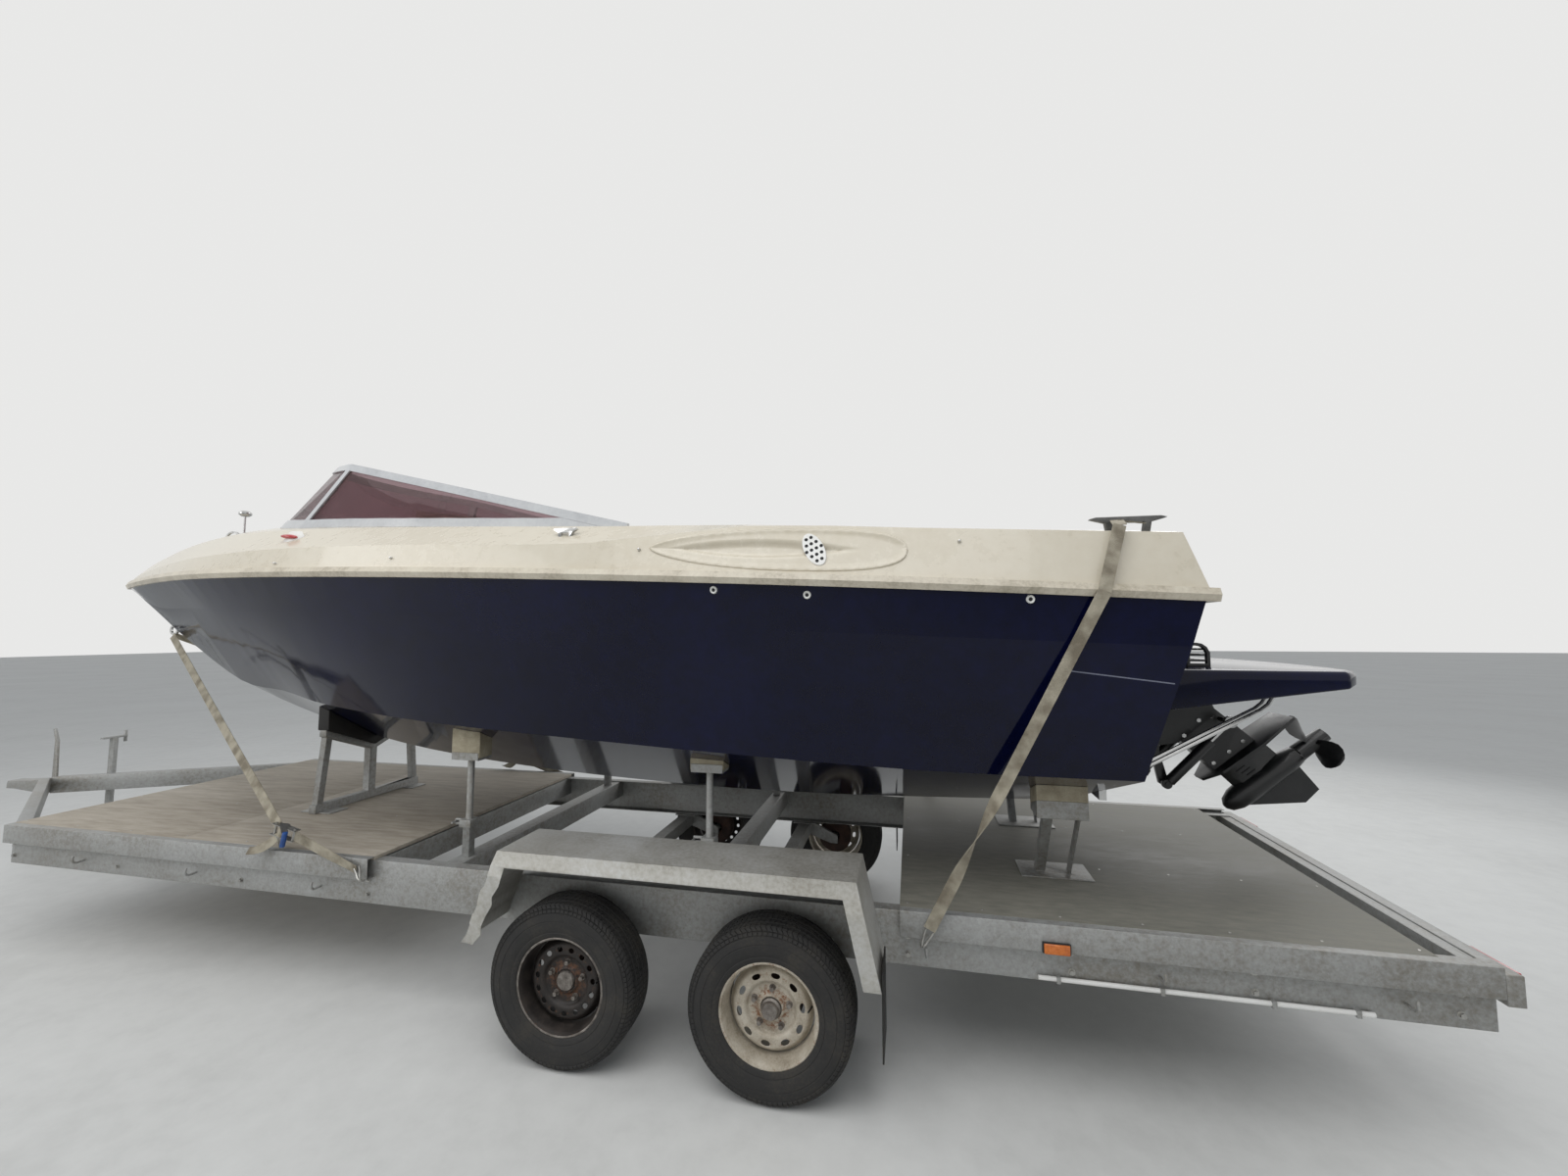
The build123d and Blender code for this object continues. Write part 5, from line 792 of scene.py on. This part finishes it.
BOW_EYE = (-2.89, -0.012, 1.733)
RATCHET = Vector((-0.64, -0.90, 0.765))
FRONT_HOOK = Vector((-0.17, -0.915, 0.61))
CLEAT_TURN = Vector((3.222, -0.848, 2.196))
KNUCKLE = Vector((3.196, -0.964, 2.158))
REAR_HOOK = Vector((2.47, -0.925, 0.59))
for side, word in ((1, "port"), (-1, "starboard")):
    rail_point, facing = on_skin("straps", (3.112, -side * 3, 1.905), (0, side, 0))
    rail_cross = Vector((3.112, -abs(rail_point.y) + 0.002, 1.905))
    shape = bmesh.new()
    for start, end, face, steps, twist, sag in (
        (BOW_EYE, RATCHET + Vector((-0.045, 0, 0.03)), (0, -1, 0.3), 60, 0.0, 0.004),
        (RATCHET + Vector((0.055, -0.002, -0.012)), FRONT_HOOK + Vector((-0.016, 0, 0.012)), (0, -1, 0), 16,
         0.3, 0.0),
        (CLEAT_TURN, KNUCKLE, (0, 0, 1), 8, 0.0, 0.0),
        (KNUCKLE, rail_cross, (0, -1, 0), 8, 0.0, 0.0),
        (rail_cross, REAR_HOOK + Vector((0.012, 0, 0.03)), (0, -1, 0), 70, math.pi, 0.0),
        # turn round the stern cleat's foot
        (CLEAT_TURN + Vector((0.10, 0.02, -0.012)), CLEAT_TURN, (0, -0.2, 1), 6, 0.0, 0.0),
        # loose tail below the ratchet
        (RATCHET + Vector((-0.02, -0.012, -0.012)), RATCHET + Vector((-0.16, -0.05, -0.085)), (0, -1, 0.4),
         12,
         0.5, 0.02),
    ):
        run = web_run(start, end, face, steps, twist, sag)
        if side < 0:
            bmesh.ops.scale(run, vec=(1, -1, 1), verts=run.verts)
            bmesh.ops.reverse_faces(run, faces=run.faces)
        add_shape(shape, run)
    settle(shape, f"webbing_{word}", [webbing], "outfit", math.radians(60),
           ("straps",) if side > 0 else ())

# Ratchets and hooks: zinc-plated pressed steel, riveted, with a blue plastic grip on the lever.
plated, tree, shader = surface_of("zinc_plated_steel", 0.35, metal=0.9)
weathering(tree, shader, ("8f8e8a", "a8a7a3", "bcbbb6"), 40, 3, rough=(0.28, 0.5))
blue_grip, tree, shader = surface_of("blue_moulded_grip", 0.4)
weathering(tree, shader, ("1d3f78", "264f90", "2f5ea5"), 30, 4, rough=(0.35, 0.5))
for side, word in ((1, "port"), (-1, "starboard")):
    shape = bmesh.new()
    tilt = Matrix.Rotation(math.radians(12), 4, "Y")
    at = Matrix.Translation(RATCHET) @ tilt
    for edge_side in (-1, 1):
        cheek = bmesh.new()
        bmesh.ops.create_cube(cheek, size=1.0, matrix=Matrix.Translation((0, 0, 0.026 * edge_side))
                              @ Matrix.Diagonal((0.148, 0.034, 0.003, 1)))
        add_shape(shape, cheek, 0, at)
        arm = bmesh.new()
        bmesh.ops.create_cube(arm, size=1.0, matrix=Matrix.Translation((0.02, -0.028, 0.031 * edge_side))
                              @ Matrix.Rotation(math.radians(-34), 4, "Z")
                              @ Matrix.Diagonal((0.12, 0.026, 0.003, 1)))
        add_shape(shape, arm, 0, at)
        for tooth in range(12):
            cog = bmesh.new()
            bmesh.ops.create_cube(cog, size=1.0, matrix=Matrix.Translation((-0.012, 0, 0.0285 * edge_side))
                                  @ Matrix.Rotation(math.radians(15 * tooth), 4, "Z")
                                  @ Matrix.Diagonal((0.046, 0.007, 0.003, 1)))
            add_shape(shape, cog, 0, at)
    for x, y, radius in ((-0.012, 0.0, 0.012), (0.058, 0.0, 0.007), (-0.06, 0.0, 0.006)):
        bar = bmesh.new()
        bmesh.ops.create_cone(bar, cap_ends=True, segments=20, radius1=radius, radius2=radius, depth=0.062,
                              matrix=Matrix.Translation((x, y, 0)))
        add_shape(shape, bar, 0, at)
    roll = bmesh.new()
    bmesh.ops.create_cone(roll, cap_ends=True, segments=24, radius1=0.02, radius2=0.02, depth=0.046,
                          matrix=Matrix.Translation((-0.012, 0, 0)))
    add_shape(shape, roll, 2, at)
    handle = bmesh.new()
    bmesh.ops.create_cone(handle, cap_ends=True, segments=20, radius1=0.0115, radius2=0.0115, depth=0.072,
                          matrix=Matrix.Translation((0.068, -0.058, 0)))
    rims = [e for e in handle.edges if e.calc_face_angle(0) > 1]
    soften(handle, rims, 0.003, 2)
    add_shape(shape, handle, 1, at)
    for hook_at, lean in ((FRONT_HOOK, -0.5), (REAR_HOOK, 0.45)):
        for spread in (-0.016, 0.016):
            hook = [Vector((spread, 0.0, 0.03)), Vector((spread * 0.7, -0.002, 0.0)),
                    Vector((spread * 0.4, -0.010, -0.024)),
                    Vector((0.0, -0.004, -0.040)), Vector((0.0, 0.014, -0.043)), Vector((0.0, 0.024, -0.03))]
            bend = Matrix.Translation(hook_at) @ Matrix.Rotation(lean, 4, "Y")
            add_shape(shape, tube_along([bend @ p for p in hook], 0.0045), 0)
    bmesh.ops.recalc_face_normals(shape, faces=shape.faces)
    if side < 0:
        bmesh.ops.scale(shape, vec=(1, -1, 1), verts=shape.verts)
        bmesh.ops.reverse_faces(shape, faces=shape.faces)
    settle(shape, f"ratchet_{word}", [plated, blue_grip, webbing], "outfit", math.radians(35),
           ("ratchets",) if side > 0 else ())

# Trailer frame: hot-dip galvanised channels, tubes and folded plate, welded and bolted. The zinc has gone
# dull with broad pale and dark patches, some of them brown with dirt.
galvanised, tree, shader = surface_of("weathered_galvanised_steel", 0.5, metal=0.35)
turned, ramp = weathering(tree, shader, ("837f77", "9b9b98", "a9aaa9"), 420, 22, rough=(0.42, 0.62),
                          fine_share=0.5)
# Zinc spangle, flat crystals about 8 mm wide
spangle = add_node(tree, "ShaderNodeTexVoronoi", {"Vector": turned.outputs[0], "Scale": 1000 / 8.0})
cell = add_node(tree, "ShaderNodeMapRange",
                {"Value": spangle.outputs["Color"], "To Min": 0.9, "To Max": 1.08})
tinted = add_node(tree, "ShaderNodeMix", {0: 1.0, 6: ramp.outputs[0], 7: cell.outputs[0]}, data_type="RGBA",
                  blend_type="MULTIPLY")
tree.links.new(tinted.outputs[2], shader.inputs["Base Color"])
for name, width, corner in (
    ("rail_port", 3.0, 40), ("rail_starboard", 3.0, 40), ("crossmembers", 3.0, 40), ("drawbar_port", 3.0, 40),
    ("drawbar_starboard", 3.0, 40), ("axle_tubes", 3.0, 40), ("axle_arms", 2.0, 40),
    ("support_posts", 2.0, 40),
    ("front_cradle", 2.5, 40), ("rear_rests", 1.5, 40), ("bed_edges", 2.0, 40), ("coupling", 2.0, 35),
    ("jockey_tube", 0.8, 40),
):
    bevelled_copy(name, [galvanised], "outfit", width, corner)
bevelled_copy("jockey_fork", [galvanised], "jockey_swivel", 1.5, 40)
solid_rubber, tree, shader = surface_of("old_black_rubber", 0.7)
weathering(tree, shader, ("141414", "1e1d1c", "2c2a27"), 110, 7, rough=(0.6, 0.8), bump_mm=0.3)
bevelled_copy("jockey_wheel", [solid_rubber], "jockey_roller", 6.0, 35, 3)

# Bolts of the frame: hexagon heads with washers along the rails, where crossmembers and axle brackets
# are fixed, and small zinc screws that hold the sheets down.
RAIL_Y = 0.86
shape = bmesh.new()
for side in (-1, 1):
    for x in (-2.59, -1.80, -0.95, -0.17, 1.10, 1.80, 2.40, 3.0, 3.6, 4.2):
        for z in (0.49, 0.56):
            point, facing = on_skin("rail_port" if side < 0 else "rail_starboard", (x, side * 3, z),
                                    (0, -side, 0))
            at = facing_matrix(point, facing)
            bmesh.ops.create_cone(shape, cap_ends=True, segments=18, radius1=0.013, radius2=0.013,
                                  depth=0.003,
                                  matrix=at)
            bmesh.ops.create_cone(shape, cap_ends=True, segments=6, radius1=0.0098, radius2=0.0092,
                                  depth=0.014,
                                  matrix=at @ Matrix.Translation((0, 0, 0.004)))
settle(shape, "frame_bolts", [plated], "outfit")
SCREW_R = 0.0055
shape = bmesh.new()
for bed in ("front_bed", "rear_bed"):
    low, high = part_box(bed)
    for x in [low.x + 0.03 + (high.x - low.x - 0.06) * i / 6 for i in range(7)]:
        for y in (low.y + 0.035, -0.3, 0.3, high.y - 0.035):
            bmesh.ops.create_cone(shape, cap_ends=True, segments=12, radius1=SCREW_R, radius2=SCREW_R * 0.75,
                                  depth=0.0024, matrix=Matrix.Translation((x, y, high.z)))
settle(shape, "sheet_screws", [plated], "outfit")

# Rope hooks: bent round bar welded under the rails, six to a side, and a pipe for the lamps' cable.
shape = bmesh.new()
for side in (-1, 1):
    for x in (-2.05, -1.25, -0.45, 2.47, 3.30, 4.05):
        outer = RAIL_Y + 0.043
        hook = [(x, side * (RAIL_Y + 0.002), 0.505), (x, side * (outer - 0.010), 0.500),
                (x, side * (outer + 0.006), 0.512),
                (x, side * (outer + 0.008), 0.530), (x, side * (outer + 0.004), 0.542)]
        add_shape(shape, tube_along(hook, 0.0055), 0)
    pipe = [(2.88, side * (RAIL_Y + 0.0095), 0.463), (3.95, side * (RAIL_Y + 0.0095), 0.463)]
    add_shape(shape, tube_along(pipe, 0.0085, smooth=False), 1)
    for x in (2.95, 3.3, 3.65, 3.9):
        clip = bmesh.new()
        bmesh.ops.create_cube(clip, size=1.0, matrix=Matrix.Translation((x, side * (RAIL_Y + 0.010), 0.463))
                              @ Matrix.Diagonal((0.014, 0.020, 0.024, 1)))
        add_shape(shape, clip, 0)
settle(shape, "rope_hooks_and_pipe", [galvanised, plastic], "outfit", math.radians(50))

# Beds: birch plywood sheets, the front one bare and bleached, the rear one filmed dark grey and scuffed.
bare_ply, tree, shader = surface_of("bleached_birch_plywood", 0.75)
weathering(tree, shader, ("8f8678", "a89f91", "bab2a5"), 520, 34, rough=(0.65, 0.85),
           stretch=(0.16, 1, 1), bump_mm=0.4, fine_share=0.55)
filmed_ply, tree, shader = surface_of("filmed_grey_plywood", 0.6)
weathering(tree, shader, ("6a6860", "7c7a70", "8d8a7f"), 480, 26, rough=(0.5, 0.75),
           stretch=(0.3, 1, 1), bump_mm=0.3, fine_share=0.5)
bevelled_copy("front_bed", [bare_ply], "outfit", 1.5, 40)
bevelled_copy("rear_bed", [filmed_ply], "outfit", 1.5, 40)

# Pads: blocks of soft wood wrapped in cream carpet on the posts and rests, and a black rubber saddle on
# the front cradle, all pressed to the hull's form. Each post has clamp screws and a head plate.
carpet, tree, shader = surface_of("cream_pad_carpet", 0.9)
weathering(tree, shader, ("857c68", "9e9580", "b0a892"), 60, 3, rough=(0.85, 0.95), bump_mm=0.9)
bevelled_copy("support_pads", [carpet], "outfit", 4.0, 35, 3)
bevelled_copy("cradle_pad", [solid_rubber], "outfit", 4.0, 35, 3)
POST_PLACES = (0.25, 1.515)
POST_Y = 0.70
for x in POST_PLACES:
    for side in (-1, 1):
        post = bmesh.new()
        for z in (0.80, 0.82):
            # clamp screws with T handles
            add_shape(post, tube_along([(x - 0.032, side * POST_Y, z), (x - 0.075, side * POST_Y, z)], 0.007,
                                       smooth=False), 0)
        add_shape(post, tube_along([(x - 0.075, side * 0.67, 0.81), (x - 0.075, side * 0.73, 0.81)], 0.005,
                                   smooth=False), 0)
        plate = bmesh.new()
        bmesh.ops.create_cube(plate, size=1.0, matrix=Matrix.Translation((x, side * POST_Y, 1.128))
                              @ Matrix.Diagonal((0.15, 0.085, 0.012, 1)))
        add_shape(post, plate, 0)
        for lip in (-1, 1):
            flange = bmesh.new()
            bmesh.ops.create_cube(flange, size=1.0,
                                  matrix=Matrix.Translation((x, side * POST_Y + lip * 0.047, 1.142))
                                  @ Matrix.Diagonal((0.15, 0.004, 0.036, 1)))
            add_shape(post, flange, 0)
        settle(post, f"post_head_{'port' if side < 0 else 'starboard'}_{'front' if x < 1 else 'rear'}",
               [galvanised],
               "outfit", math.radians(40))

# Mudguards: galvanised sheet folded over both wheels, with a turned lip; the front corner of the lip has
# been knocked and creased. Rubber flaps hang behind on two bolts.
sheet_steel, tree, shader = surface_of("dull_galvanised_sheet", 0.45, metal=0.4)
weathering(tree, shader, ("9a968c", "b3b1aa", "c2c2bf"), 340, 16, rough=(0.38, 0.6), fine_share=0.45)
shape = merged("mudguards")
bmesh.ops.dissolve_limit(shape, angle_limit=math.radians(0.6), verts=shape.verts, edges=shape.edges)
for plane_x in [0.62 + 0.03 * i for i in range(9)]:
    bmesh.ops.bisect_plane(shape, geom=shape.verts[:] + shape.edges[:] + shape.faces[:], dist=1e-5,
                           plane_co=(plane_x, 0, 0), plane_no=(1, 0, 0.2))
for plane_z in [0.52 + 0.04 * i for i in range(8)]:
    bmesh.ops.bisect_plane(shape, geom=shape.verts[:] + shape.edges[:] + shape.faces[:], dist=1e-5,
                           plane_co=(0, 0, plane_z), plane_no=(0, 0, 1))
DENT_SKIN_Y = -1.13
DENT_END_X = 0.86
DENT_LENGTH = 0.26
for vertex in shape.verts:
    x, y, z = vertex.co
    if y < DENT_SKIN_Y and x < DENT_END_X:
        share = (DENT_END_X - x) / DENT_LENGTH
        vertex.co.x += share * 0.012 * math.sin(z * 61 + 0.7)
        vertex.co.y += share * 0.008 * (1 + math.sin(z * 83 + x * 40))
bevel_edges = [e for e in shape.edges if len(e.link_faces) == 2 and math.degrees(e.calc_face_angle(0)) > 60]
soften(shape, bevel_edges, 0.0012, 2, True)
settle(shape, "mudguard_sheets", [sheet_steel], "outfit", math.radians(24), ("mudguards",))
bevelled_copy("mudflaps", [solid_rubber], "outfit", 1.2, 40)

# Wheels: pressed steel discs welded into drop-centre rims, old silver paint in front gone black, cream
# paint behind, rust round the holes. Both have a drum and hub behind, hexagon bolts and a grease cap.
HUBS = [(1.015, "front", 15, 0.0012), (1.885, "rear", 10, 0.001)]
HUB_Y = 1.01
HUB_Z = 0.325
RIM_SECTION = [(0.1935, 0.0785), (0.1900, 0.0802), (0.1850, 0.0780), (0.1805, 0.0690), (0.1760, 0.0600),
               (0.1755, 0.0420), (0.1700, 0.0300), (0.1700, -0.0200), (0.1755, -0.0450), (0.1760, -0.0600),
               (0.1800, -0.0700), (0.1895, -0.0755)]
DISC_SECTION = [(0.1680, 0.0090), (0.1610, 0.0120), (0.1555, 0.0250), (0.1460, 0.0345), (0.1380, 0.0360),
                (0.1150, 0.0365), (0.1060, 0.0355), (0.0985, 0.0290), (0.0930, 0.0200), (0.0860, 0.0180),
                (0.0640, 0.0180), (0.0560, 0.0200), (0.0500, 0.0280), (0.0420, 0.0290)]
HOLE_BAND = (0.1150, 0.1380)
LIP_R = 0.1865
DISC_T = 0.0035
RIM_T = 0.003
WHEEL_BOLTS = 5
BOLT_CIRCLE_R = 0.0725


def painted_steel(name, tones, rust, rust_share):
    """Old paint on pressed steel, with rust where the mesh's own rust attribute is high."""
    material, tree, shader = surface_of(name, 0.5, metal=0.2)
    turned, ramp = weathering(tree, shader, tones, 70, 6, rough=(0.4, 0.7), bump_mm=0.3)
    worn = add_node(tree, "ShaderNodeAttribute", attribute_name="rust")
    spots = add_node(tree, "ShaderNodeTexNoise",
                     {"Vector": turned.outputs[0], "Scale": 1000 / 14.0, "Detail": 8.0,
                                                  "Roughness": 0.7})
    sum_of = add_node(tree, "ShaderNodeMath", {0: worn.outputs["Fac"], 1: spots.outputs["Fac"]},
                      operation="ADD")
    edge = add_node(tree, "ShaderNodeMapRange", {"Value": sum_of.outputs[0], "From Min": rust_share,
                                                 "From Max": rust_share + 0.16})
    mixed = add_node(tree, "ShaderNodeMix", {0: edge.outputs[0], 6: ramp.outputs[0], 7: colour(rust)},
                     data_type="RGBA")
    tree.links.new(mixed.outputs[2], shader.inputs["Base Color"])
    return material


black_rim = painted_steel("rusty_black_rim_paint", ("161413", "27221f", "3a332e"), "5d3f2c", 0.72)
cream_rim = painted_steel("rusty_silver_rim_paint", ("958b7a", "b3aa9a", "c7c0b2"), "7d5235", 0.74)
cast_iron, tree, shader = surface_of("rusty_cast_iron", 0.75, metal=0.3)
weathering(tree, shader, ("2b211b", "40302a", "574034"), 60, 5, rough=(0.65, 0.85), bump_mm=0.6)
bolt_steel, tree, shader = surface_of("brown_bolt_steel", 0.5, metal=0.6)
weathering(tree, shader, ("4f4a45", "77716b", "9a958f"), 30, 3, rough=(0.35, 0.6))


def spun(section, steps):
    """A section of radius and distance out, spun about the wheel's axle."""
    ring = bmesh.new()
    line = [ring.verts.new((radius, 0, out)) for radius, out in section]
    edges = [ring.edges.new(pair) for pair in zip(line, line[1:])]
    bmesh.ops.spin(ring, geom=line + edges, cent=(0, 0, 0), axis=(0, 0, 1), angle=2 * math.pi, steps=steps,
                   use_merge=True, use_duplicate=False)
    bmesh.ops.remove_doubles(ring, verts=ring.verts, dist=1e-5)
    bmesh.ops.recalc_face_normals(ring, faces=ring.faces)
    return ring


def wheel_place(hub_x, side):
    """Where a wheel made about its own upright axle stands, its outer face away from the trailer."""
    turn = Matrix.Rotation(-side * math.pi / 2, 4, "X")
    return Matrix.Translation((hub_x, side * HUB_Y, HUB_Z)) @ turn


def outwards_up(shape):
    """Turns an open sheet so that its faces look out along the axle."""
    if sum(face.normal.z * face.calc_area() for face in shape.faces) < 0:
        bmesh.ops.reverse_faces(shape, faces=shape.faces)


for hub_x, word, holes, inset in HUBS:
    disc = spun(DISC_SECTION, holes * 2)
    outwards_up(disc)
    disc.faces.ensure_lookup_table()
    band = []
    for face in disc.faces:
        middle = face.calc_center_median()
        if HOLE_BAND[0] < middle.xy.length < HOLE_BAND[1]:
            turn = math.atan2(middle.y, middle.x) / (2 * math.pi) * holes * 2
            if round(turn - 0.5) % 2 == 0:
                band.append(face)
    bmesh.ops.inset_individual(disc, faces=band, thickness=inset, depth=-0.0015)
    bmesh.ops.delete(disc, geom=band, context="FACES")
    bmesh.ops.solidify(disc, geom=disc.faces[:], thickness=DISC_T)
    barrel = spun(RIM_SECTION, 48)
    bmesh.ops.solidify(barrel, geom=barrel.faces[:], thickness=RIM_T)
    whole = bmesh.new()
    add_shape(whole, disc)
    holder = bpy.data.objects.new("disc", bpy.data.meshes.new("disc"))
    whole.to_mesh(holder.data)
    whole.free()
    scene.collection.objects.link(holder)
    rounder = holder.modifiers.new("round", "SUBSURF")
    rounder.levels = 2
    rounder.render_levels = 2
    applied(holder)
    wheel_shape = bmesh.new()
    wheel_shape.from_mesh(holder.data)
    bpy.data.objects.remove(holder)
    add_shape(wheel_shape, barrel)
    # hub, drum and bolts
    drum = spun([(0.034, -0.080), (0.100, -0.080), (0.112, -0.070), (0.112, -0.058), (0.108, -0.056),
                 (0.108, -0.006), (0.100, 0.0), (0.034, 0.004)], 48)
    add_shape(wheel_shape, drum, 1)
    cap_section = [(0.040, 0.014), (0.0395, 0.034), (0.0330, 0.040), (0.0325, 0.050), (0.0290, 0.055),
                   (0.0005, 0.0565)] \
        if word == "rear" else [(0.040, 0.014), (0.0395, 0.030), (0.0360, 0.036), (0.0200, 0.0385),
                                (0.0005, 0.039)]
    cap = spun(cap_section, 32)
    outwards_up(cap)
    add_shape(wheel_shape, cap, 2)
    for number in range(WHEEL_BOLTS):
        turn = Matrix.Rotation(2 * math.pi * (number + 0.2) / WHEEL_BOLTS, 4, "Z") \
            @ Matrix.Translation((BOLT_CIRCLE_R, 0, 0))
        bolt = bmesh.new()
        bmesh.ops.create_cone(bolt, cap_ends=True, segments=24, radius1=0.0135, radius2=0.0115, depth=0.005,
                              matrix=turn @ Matrix.Translation((0, 0, 0.0195)))
        bmesh.ops.create_cone(bolt, cap_ends=True, segments=6, radius1=0.0098, radius2=0.0092, depth=0.016,
                              matrix=turn @ Matrix.Translation((0, 0, 0.029)))
        add_shape(wheel_shape, bolt, 2)
    valve = tube_along([(0.158, 0.02, 0.018), (0.152, 0.02, 0.045), (0.149, 0.02, 0.056)], 0.0035)
    add_shape(wheel_shape, valve, 3)
    if word == "front":
        for face in wheel_shape.faces:
            if face.calc_center_median().xy.length > LIP_R:
                face.material_index = 2
    wheel_shape.verts.ensure_lookup_table()
    rust = wheel_shape.verts.layers.float.new("rust")
    for vertex in wheel_shape.verts:
        radius = vertex.co.xy.length
        near_hub = max(0.0, 1 - abs(radius - 0.060) / 0.055)
        near_holes = max(0.0, 1 - abs(radius - 0.1265) / 0.022)
        near_lip = max(0.0, 1 - abs(radius - 0.188) / 0.012)
        vertex[rust] = 0.34 * near_hub + 0.22 * near_holes + 0.26 * near_lip
    for side, side_word in ((-1, "port"), (1, "starboard")):
        made = wheel_shape.copy()
        place = wheel_place(hub_x, side)
        bmesh.ops.transform(made, matrix=place, verts=made.verts)
        settle(made, f"wheel_disc_{word}_{side_word}",
               [black_rim if word == "front" else cream_rim, cast_iron,
                                                         bolt_steel, black_plastic],
               f"wheel_{word}_{side_word}", math.radians(38), (f"rim_{word}_{side_word}",))
    wheel_shape.free()

# Tyres: 185 wide on 14 inch rims, black rubber gone grey-brown, with five rows of tread blocks, four main
# grooves and moulded rings on the side walls.
tyre_rubber, tree, shader = surface_of("dusty_tyre_rubber", 0.8)
weathering(tree, shader, ("1a1a1a", "282726", "3b3833"), 130, 9, rough=(0.7, 0.9), bump_mm=0.35)
HALF_TYRE = [(0.3212, 0.0000), (0.3212, 0.0110), (0.3150, 0.0125), (0.3150, 0.0180), (0.3212, 0.0195),
             (0.3210, 0.0405), (0.3150, 0.0420), (0.3150, 0.0475), (0.3205, 0.0490), (0.3185, 0.0690),
             (0.3060, 0.0815), (0.2930, 0.0862), (0.2912, 0.0858), (0.2890, 0.0886), (0.2800, 0.0905),
             (0.2640, 0.0923), (0.2615, 0.0905), (0.2590, 0.0923), (0.2400, 0.0915), (0.2200, 0.0880),
             (0.2170, 0.0860), (0.2140, 0.0875), (0.2020, 0.0850), (0.1950, 0.0800), (0.1905, 0.0740),
             (0.1830, 0.0660), (0.1800, 0.0600)]
TREAD_STEPS = 96
BLOCK_R = 0.295
BLOCK_INSET = 0.0026
BLOCK_RISE = 0.0036
LEAN_R = 0.3165
LEAN_OUT = 0.019
section = [(radius, -out) for radius, out in reversed(HALF_TYRE[1:])] + HALF_TYRE
tyre = spun(section, TREAD_STEPS)
blocks = []
for face in tyre.faces:
    middle = face.calc_center_median()
    rows = abs(middle.z) < 0.0105 or 0.020 < abs(middle.z) < 0.040 or 0.050 < abs(middle.z) < 0.085
    if rows and middle.xy.length > BLOCK_R:
        blocks.append(face)
if blocks[0].normal.xy.dot(blocks[0].calc_center_median().xy) < 0:
    bmesh.ops.reverse_faces(tyre, faces=tyre.faces)
bmesh.ops.inset_individual(tyre, faces=blocks, thickness=BLOCK_INSET, depth=BLOCK_RISE)
for vertex in tyre.verts:
    # blocks lean a little, row against row
    if vertex.co.xy.length > LEAN_R and abs(vertex.co.z) > LEAN_OUT:
        lean = math.radians(1.2) * math.copysign(1, vertex.co.z) * (abs(vertex.co.z) - LEAN_OUT) / 0.03
        vertex.co.xy = Matrix.Rotation(lean, 2) @ vertex.co.xy
for hub_x, word, *_ in HUBS:
    for side, side_word in ((-1, "port"), (1, "starboard")):
        made = tyre.copy()
        place = wheel_place(hub_x, side)
        bmesh.ops.transform(made, matrix=place, verts=made.verts)
        settle(made, f"tyre_rubber_{word}_{side_word}", [tyre_rubber], f"wheel_{word}_{side_word}",
               math.radians(32), (f"tyre_{word}_{side_word}",))
tyre.free()

# Lamps: amber side markers on the edge profiles and red clusters on the tail beam, black housings with
# acrylic lenses.
amber_lens, tree, shader = surface_of("amber_acrylic_lens", 0.15, coat=0.6)
weathering(tree, shader, ("b5580f", "cc6a18", "d97a2a"), 40, 6, rough=(0.1, 0.25))
LAMP_BODIES = [(Vector((2.94, side * 0.91, 0.59)), (0.10, 0.02, 0.04), (0, side, 0), "amber")
               for side in (-1, 1)]
LAMP_BODIES += [(Vector((4.3666, side * 0.76, 0.60)), (0.032, 0.20, 0.08), (1, 0, 0), "red")
                for side in (-1, 1)]
shape = bmesh.new()
for middle, size, face_way, lens in LAMP_BODIES:
    way = Vector(face_way)
    depth = abs(Vector(size).dot(Vector([abs(c) for c in way])))
    base = bmesh.new()
    base_size = [s * (0.55 if abs(w) > 0.5 else 1.0) for s, w in zip(size, way)]
    bmesh.ops.create_cube(base, size=1.0, matrix=Matrix.Translation(middle - way * depth * 0.22)
                          @ Matrix.Diagonal((*base_size, 1)))
    soften(base, base.edges[:], 0.003, 2)
    add_shape(shape, base, 0)
    cover = bmesh.new()
    cover_size = [s * (0.48 if abs(w) > 0.5 else 0.9) for s, w in zip(size, way)]
    bmesh.ops.create_cube(cover, size=1.0, matrix=Matrix.Translation(middle + way * depth * 0.26)
                          @ Matrix.Diagonal((*cover_size, 1)))
    soften(cover, cover.edges[:], 0.0035, 3)
    add_shape(shape, cover, 1 if lens == "amber" else 2)
settle(shape, "lamp_units", [black_plastic, amber_lens, red_lens], "outfit", math.radians(40),
       ("trailer_lamps",))
